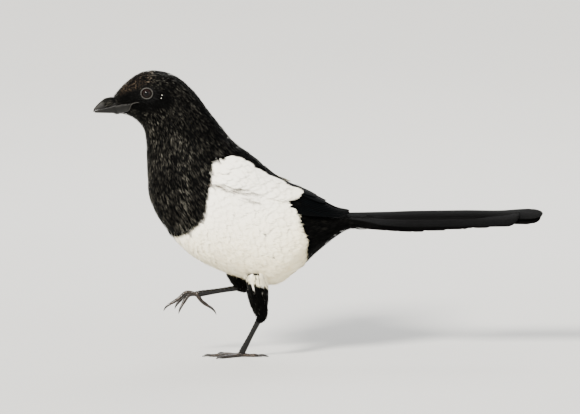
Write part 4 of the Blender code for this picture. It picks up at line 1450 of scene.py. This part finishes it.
def tail_frame(x, twist):
    """Top middle of the tail at x, and its directions to the left and up. The middle feathers
    twist towards their tips."""
    share = (x - TAIL_START_X) / (TAIL_TIP_X - TAIL_START_X)
    top = np.stack([x, 0 * x, TAIL_TOP_Z[0] + (TAIL_TOP_Z[1] - TAIL_TOP_Z[0]) * share], axis=-1)
    rear = twist * ease((x - TAIL_TWIST[0]) / TAIL_TWIST[1])
    top[..., 2] -= TAIL_TIP_DROP * rear
    roll = np.radians(TAIL_ROLL * ease((x - TAIL_START_X) / 60.0) + TAIL_TIP_ROLL * rear)
    left = np.stack([0 * x, -np.cos(roll), -np.sin(roll)], axis=-1)
    up = np.stack([0 * x, -np.sin(roll), np.cos(roll)], axis=-1)
    return top, left, up


def tail_vane(pair, side):
    start = TAIL_ROOT_X + TAIL_ROOT_STEP * pair
    end = TAIL_TIP_X - TAIL_STEP * pair - (TAIL_UNEVEN if side == LEFT and pair == 0 else 0.0)
    slope = math.radians(TAIL_SLOPE if pair else TAIL_CROWN_SLOPE)

    def place(t, y):
        x = start + (end - start) * t
        top, left, up = tail_frame(x, 0.0 if pair else 1.0)
        across = -side * left
        sideways = unit(math.cos(slope) * across - math.sin(slope) * up)
        above = unit(math.sin(slope) * across + math.cos(slope) * up)
        width = TAIL_HALF_WIDTH * vane_width(t, *TAIL_SHAPE)
        inner = (0.7 + 0 * t) if pair else 2.2 - width
        drop = TAIL_PITCH * (pair + 0.3) if pair else (0.0 if side == RIGHT else TAIL_PITCH)
        share = y / np.maximum(width, 0.1)
        flatter = 1 - 0.8 * ease((x - TAIL_FLATTEN[0]) / TAIL_FLATTEN[1])
        camber = (TAIL_CAMBER if pair else TAIL_CROWN_CAMBER * flatter) * width * share ** 2
        reach = inner + width - y * side
        return (top + reach[:, None] * sideways - drop * up - camber[:, None] * above), above

    return vane_piece("vane", place, end - start, TAIL_HALF_WIDTH, "tail", 200 + 2 * pair + side,
                      along=60, across=12, splits=5, shape=TAIL_SHAPE)


tail = joined("tail_feathers", [tail_vane(pair, side) for pair in range(TAIL_PAIRS)
                                for side in (LEFT, RIGHT)])
dress(tail, "flight_feathers", "tail")
print("tail feathers:", 2 * TAIL_PAIRS)

# %% [markdown]
# The bill
#
# A magpie's bill is stout and straight, with an arched ridge, a small hook at the tip, and a
# cutting edge that overhangs the lower half a little. Each half is a grid wrapped round its
# own section: over the outside, and back along the mouth. The base runs in under the feathers.

# %% Bill
BILL_BASE_TOP, BILL_BASE_LOW = (-119.0, 244.0), (-114.0, 229.0)
BILL_TIP = (-137.3, 231.2)
BILL_GONYS_TIP = (-136.3, 229.4)
MOUTH_BASE_Z = 237.2
BILL_HALF_WIDTH = 6.4
CULMEN_RISE = 3.6
MOUTH_GAP = 0.12
HOOK_DROP = 1.5                # how far the upper half's tip hooks down over the lower half
BILL_HIDDEN = -0.22            # where each half starts, inside the head
BILL_OUTSIDE = 0.62            # the share of a section that is its outside; the rest is mouth
MOUTH_FOLD = ((2.05, 97), (1.75, 99), (1.48, 102), (1.36, 108), (1.25, 118), (1.1, 128))
MOUTH_FOLD_RADII = (0.15, 0.28, 0.4, 0.42, 0.35, 0.15)


def bill_place(upper, t, a):
    """The bill's outside at the share t from base to tip and the angle a over it, from one
    cutting edge to the other."""
    lean = (BILL_BASE_LOW[0] - BILL_BASE_TOP[0]) / (BILL_BASE_LOW[1] - BILL_BASE_TOP[1])
    inside = np.clip(t, 0, 1)
    mouth = MOUTH_BASE_Z + (BILL_TIP[1] - MOUTH_BASE_Z) * inside ** 0.9
    if upper:
        mouth = mouth - HOOK_DROP * ease((inside - 0.9) / 0.1)
        arch = CULMEN_RISE * np.sin(math.pi * inside ** 1.25) ** 0.8
        depth = BILL_BASE_TOP[1] + (BILL_TIP[1] + 0.8 - BILL_BASE_TOP[1]) * inside + arch - mouth
        tip_x, start, narrow = BILL_TIP[0], MOUTH_GAP, 1.0
    else:
        depth = BILL_BASE_LOW[1] + (BILL_GONYS_TIP[1] - BILL_BASE_LOW[1]) * inside ** 2 - mouth
        tip_x, start, narrow = BILL_GONYS_TIP[0], -MOUTH_GAP, 0.92
    width = (BILL_HALF_WIDTH * (1 - inside ** 1.15) + 0.55) * narrow
    over = np.sin(a) ** 0.85
    z = mouth + start + depth * over
    x = BILL_BASE_TOP[0] + (tip_x - BILL_BASE_TOP[0]) * t
    x = x + (z - BILL_BASE_TOP[1]) * (1 - t) * lean
    return np.stack([x, width * np.cos(a) * (1 - 0.12 * over), z], axis=-1)


def build_mandible(upper):
    def place(u, v):
        t = BILL_HIDDEN + (1 - BILL_HIDDEN) * u ** 0.9
        outside = v < BILL_OUTSIDE
        a = np.where(outside, math.pi * v / BILL_OUTSIDE, 0.0)
        skin_point = bill_place(upper, t, np.clip(a, 1e-4, math.pi - 1e-4))
        back = (v - BILL_OUTSIDE) / (1 - BILL_OUTSIDE)
        one, other = (bill_place(upper, t, np.full_like(t, e)) for e in (math.pi - 1e-4, 1e-4))
        roof_of_mouth = one + (other - one) * back[:, None]
        points = np.where(outside[:, None], skin_point, roof_of_mouth)
        middle = 0.5 * (one + other)
        shrink = np.sqrt(np.clip(1 - np.abs(2 * u - 1) ** 40, 0, 1))[:, None]
        return middle + (points - middle) * shrink

    name = "bill_upper" if upper else "bill_lower"
    piece = bent_grid(f"{name}_horn", 48, 40, place, "horn")
    dress(piece, "horn", name)


def build_face_horn(side_name, side):
    """Horn on the side of the face, from the lower half of the bill to the mouth's corner."""
    ribs, tops, lows = (np.array(row, float) for row in zip(*FACE_HORN))

    def place(u, v):
        s = ribs[-1] * u ** 0.8
        top, low = np.interp(s, ribs, tops), np.interp(s, ribs, lows)
        angle = angle_at(side, top + (low - top) * v)
        edge = np.minimum(np.minimum(v, 1 - v) * 5, (1 - u) * 4)
        height = -0.9 + 1.5 * ease(edge) ** 0.7
        return lifted(body, s, angle, height)

    piece = bent_grid(f"face_horn_{side_name}", 36, 24, place, "horn")
    dress(piece, "horn")


def build_mouth_corner(side_name, side):
    """The fold behind the mouth, and the line of the mouth in front of it. Its pale grey is a
    painted highlight along the gape.
    """
    s, degrees = (np.array(row, float) for row in zip(*MOUTH_FOLD))
    middle = lifted(body, s, angle_at(side, degrees), 0.55 + 0 * s)
    fold = path_rows(middle, MOUTH_FOLD_RADII)

    def place(u, v):
        at = along_rows(fold, u)
        return round_rows(at, at[:, 9] * closed_ends(u), 2 * math.pi * v)

    # a real fold in shape, but its pale grey stands for the highlight along the gape: a painted
    # highlight
    piece = bent_grid(f"mouth_fold_painted_highlight_{side_name}", 40, 10, place, "lid")
    dress(piece, "black_feathers")


build_mandible(True)
build_mandible(False)
for side_name, side in SIDES.items():
    build_face_horn(side_name, side)
    build_mouth_corner(side_name, side)

# %% [markdown]
# Bristles
#
# Stiff bristles grow forwards from the forehead over the nostrils, and shorter ones from the
# chin. They are narrow barbs laid on the bill's own surface.

# %% Bristles round the bill
NOSTRIL_BRISTLES, CHIN_BRISTLES = 420, 90


def bill_surface(upper):
    """The outside of one half, turned so that its normals point out."""
    def surface(u, v):
        a = np.clip(v, 0.02, math.pi - 0.02)
        return bill_place(upper, u, math.pi - a if upper else a)
    return surface


def on_face(u, v):
    """The bristles share the first ribs of the face in the unwrap."""
    return body_map(np.clip(0.3 - u, 0, 1), v)


def build_bristles():
    hair = plumes(4, 3, 3, 0.12, 0.32, 0.0, 0.3)
    coat = Coat("bristles", "black", "black_feathers", 50)
    rng = np.random.default_rng(51)
    count = NOSTRIL_BRISTLES
    t = rng.uniform(-0.12, 0.12, count)
    a = np.concatenate([rng.uniform(0.3, 1.12, count // 2),
                        math.pi - rng.uniform(0.3, 1.12, count // 2)])
    length = rng.uniform(6.5, 11.5, count)
    coat.lay(bill_surface(True), t, a, hair, length, 0.16 * length, 0.3,
             rng.uniform(0.2, 0.8, count), 0.2, rng.normal(0, 0.14, count), on_face, 0.4)
    count = CHIN_BRISTLES
    t = rng.uniform(-0.12, 0.05, count)
    a = rng.uniform(1.0, math.pi - 1.0, count)
    length = rng.uniform(2.5, 4.5, count)
    coat.lay(bill_surface(False), t, a, hair, length, 0.2 * length, 0.2,
             rng.uniform(0.6, 1.8, count), 0.3, rng.normal(0, 0.25, count), on_face, 0.4)
    coat.finish()


build_bristles()

# %% [markdown]
# Eyes and lids
#
# The eye is a ball with a bulging cornea, set in a socket. Round it lies a bare grey lid, a
# soft ring of beaded skin that is slightly longer than it is high.

# %% Eyes
LID_RING, LID_ROLL, LID_OUT = 5.15, 0.62, 3.3   # its ring, its thickness, how far out it lies
CORNEA_BULGE = 0.5


def eye_frame(side):
    facing = EYE_FACING * (1, side, 1)
    centre = EYE_CENTRE * (1, side, 1)
    across = unit(np.cross(facing, (0.0, 0.0, 1.0)))
    return centre, facing, across, np.cross(across, facing)


def build_eye(side_name, side):
    centre, facing, across, up = eye_frame(side)

    def ball(u, v):
        polar, turn = math.pi * u, 2 * math.pi * v
        bulge = 1 + (CORNEA_BULGE / EYE_RADIUS) * np.exp(-(polar / 0.55) ** 2)
        ring = np.sin(polar)[:, None] * (np.cos(turn)[:, None] * across
                                         + np.sin(turn)[:, None] * up)
        return centre + (EYE_RADIUS * bulge)[:, None] * (ring + np.cos(polar)[:, None] * facing)

    def facts(u, v):
        return EYE_RADIUS * np.sin(math.pi * u) + 20.0 * (u > 0.5), np.sin(2 * math.pi * v), 0 * u

    eye = bent_grid(f"eyeball_{side_name}", 40, 40, ball, "eye", facts=facts)
    dress(eye, "eye", f"eye_{side_name}")

    def ring(u, v):
        around, roll = 2 * math.pi * u, 2 * math.pi * v
        stretch = 1 + 0.05 * np.cos(2 * around)
        reach = (LID_RING + LID_ROLL * np.cos(roll)) * stretch
        out = LID_OUT + 1.1 * LID_ROLL * np.sin(roll)
        place = np.cos(around)[:, None] * across + np.sin(around)[:, None] * up
        return centre + reach[:, None] * place + out[:, None] * facing

    lid = bent_grid(f"lid_{side_name}", 64, 14, ring, "lid")
    dress(lid, "black_feathers")


for side_name, side in SIDES.items():
    build_eye(side_name, side)

# %% [markdown]
# Legs and feet
#
# The front of a magpie's leg is covered by one row of broad scales, and its toes by shorter
# ones, with soft pads below. Each is a rod whose radius steps at every scale. Toes and the
# ball of the foot are joined into one closed surface.

# %% Legs
TARSUS_RADIUS = 1.9
TOE_RADIUS = 1.75
HUB_RADIUS = 3.1
SOLE_DEPTH = 0.45
TOE_LENGTHS = {1: 16.5, 2: 19.5, 3: 28.5, 4: 21.5}
CLAW_LENGTHS = {1: 9.5, 2: 7.0, 3: 8.0, 4: 6.5}
TOE_SCALES = {1: 8, 2: 9, 3: 14, 4: 12}
STANDING_TOE_HEADINGS = {1: -4.0, 2: 148.0, 3: 181.0, 4: 213.0}
LIFTED_TOE_PITCHES = {1: (-56.0, -46.0, -34.0), 2: (0.0, -44.0, -60.0), 3: (11.0, -38.0, -32.0),
                      4: (5.0, -34.0, -50.0)}
LIFTED_TOE_SPREADS = {1: 0.05, 2: -0.42, 3: -0.08, 4: 0.36}
CLAW_RADIUS = 1.15
CLAW_SECTION = (0.8, 1.15)          # its width and height
ROD_SIDES = 20
FOOT_DUST = 1.4                     # how much browner and paler the toes are than the shanks


def scaly_rod(name, points, radii, scales, pads, height, along, dust=0.0):
    """A rod with a row of scales on its upper side and pads on its under side. height is how
    tall its section is for its width."""
    rows = path_rows(points, radii)

    def step(u):
        return (u * scales) % 1.0

    def place(u, v):
        at = along_rows(rows, u)
        turn = 2 * math.pi * v
        top = ease(0.5 + 0.9 * np.cos(turn))
        lip = 0.09 * ease(step(u) / 0.75) - 0.07 * ease((step(u) - 0.8) / 0.2)
        pad = 0.2 * np.sin(math.pi * u * pads) ** 2
        size = at[:, 9] * (1 + top * lip + (1 - top) * pad) * closed_ends(u)
        return round_rows(at, size, turn, (1.0, height))

    def facts(u, v):
        return u, v, dust + ease((step(u) - 0.7) / 0.3) * (np.cos(2 * math.pi * v) > 0)

    return bent_grid(name, along, ROD_SIDES, place, "scales", facts=facts)


def standing_toe(toe, hub, side):
    heading = math.radians(STANDING_TOE_HEADINGS[toe])
    ahead = np.array((math.cos(heading), -side * math.sin(heading), 0.0))
    low = hub * (1, 1, 0) + (0, 0, TOE_RADIUS - SOLE_DEPTH)
    points = [low + t * TOE_LENGTHS[toe] * ahead for t in (0.35, 0.7, 1.0)]
    return [low + (0, 0, 0.9)] + points, ahead


def lifted_toe(toe, hub, side):
    forward = 1 if toe == 1 else -1
    points = [hub]
    for pitch in LIFTED_TOE_PITCHES[toe]:
        a = math.radians(pitch)
        spread = side * LIFTED_TOE_SPREADS[toe]
        ahead = unit((forward * math.cos(a), spread * math.cos(a), math.sin(a)))
        points.append(points[-1] + TOE_LENGTHS[toe] / 3 * ahead)
    return points, ahead


def on_floor(piece):
    """Flattens what would reach below the floor."""
    for vertex in piece.data.vertices:
        vertex.co.z = max(vertex.co.z, 0.0)


def build_claw(name, root, ahead, length, standing):
    start = np.array(root) - 0.8 * ahead
    down = np.array((0.0, 0.0, -1.0))
    if standing:
        drop = start[2] - 0.35
        hook = ((0.45, -0.4), (0.8, 0.35 * drop), (1.0, drop))
    else:
        hook = ((0.4, 0.0), (0.72, 0.12 * length), (0.9, 0.36 * length))
    path = [start] + [start + t * (length + 0.8) * ahead + fall * down for t, fall in hook]
    rows = path_rows(path, (CLAW_RADIUS, 0.85 * CLAW_RADIUS, 0.55 * CLAW_RADIUS, 0.12))

    def place(u, v):
        at = along_rows(rows, u)
        return round_rows(at, at[:, 9] * closed_ends(u), 2 * math.pi * v, CLAW_SECTION)

    claw = bent_grid(f"{name}_horn", 24, 14, place, "claw")
    on_floor(claw)
    dress(claw, "horn", name)


def build_leg(side_name, side):
    ankle, hub = np.array(ANKLE[side_name]), np.array(FOOT_HUB[side_name])
    standing = side_name == "left"
    shin = unit(hub - ankle)
    start, end = ankle + 1.5 * shin, hub - 1.0 * shin
    tarsus = scaly_rod(f"shank_{side_name}", [start, (start + end) / 2, end],
                       (1.1 * TARSUS_RADIUS, 0.95 * TARSUS_RADIUS, 1.25 * TARSUS_RADIUS),
                       10, 0, 1.3, 120)
    dress(tarsus, "leg_scales", f"tarsus_{side_name}")
    foot = scaly_rod(f"toes_{side_name}", [hub - 2.4 * shin, hub, hub + 2.0 * shin],
                     (0.6 * HUB_RADIUS, 0.95 * HUB_RADIUS, 0.5 * HUB_RADIUS), 2, 0, 1.0, 24,
                     FOOT_DUST)
    toes, radii = [], TOE_RADIUS * np.array((1.1, 1.0, 0.95, 0.72))
    for toe, scales in TOE_SCALES.items():
        path, ahead = (standing_toe if standing else lifted_toe)(toe, hub, side)
        toes.append(scaly_rod("toe", path, radii, scales, max(toe, 2), 0.95, 6 * scales,
                              FOOT_DUST))
        build_claw(f"claw_{side_name}_{toe}", path[-1], ahead, CLAW_LENGTHS[toe], standing)
    united(foot, toes)
    on_floor(foot)
    dress(foot, "leg_scales", f"foot_{side_name}")


for side_name, side in SIDES.items():
    build_leg(side_name, side)

# %% [markdown]
# The floor
#
# A plain pale floor, wide enough to fill the view behind the bird.

# %% Floor
def build_floor():
    bm = bmesh.new()
    bmesh.ops.create_grid(bm, x_segments=2, y_segments=2, size=6.0)
    mesh = bpy.data.meshes.new("floor")
    bm.to_mesh(mesh)
    bm.free()
    look = Finish("floor")
    tone = look.mix(look.noise(look.place(), 1.5), color(0.42, 0.42, 0.41),
                    color(0.45, 0.45, 0.44))
    mesh.materials.append(look.shade({"Base Color": tone, "Roughness": 0.9}))
    floor = bpy.data.objects.new("floor", mesh)
    bpy.context.scene.collection.objects.link(floor)


build_floor()
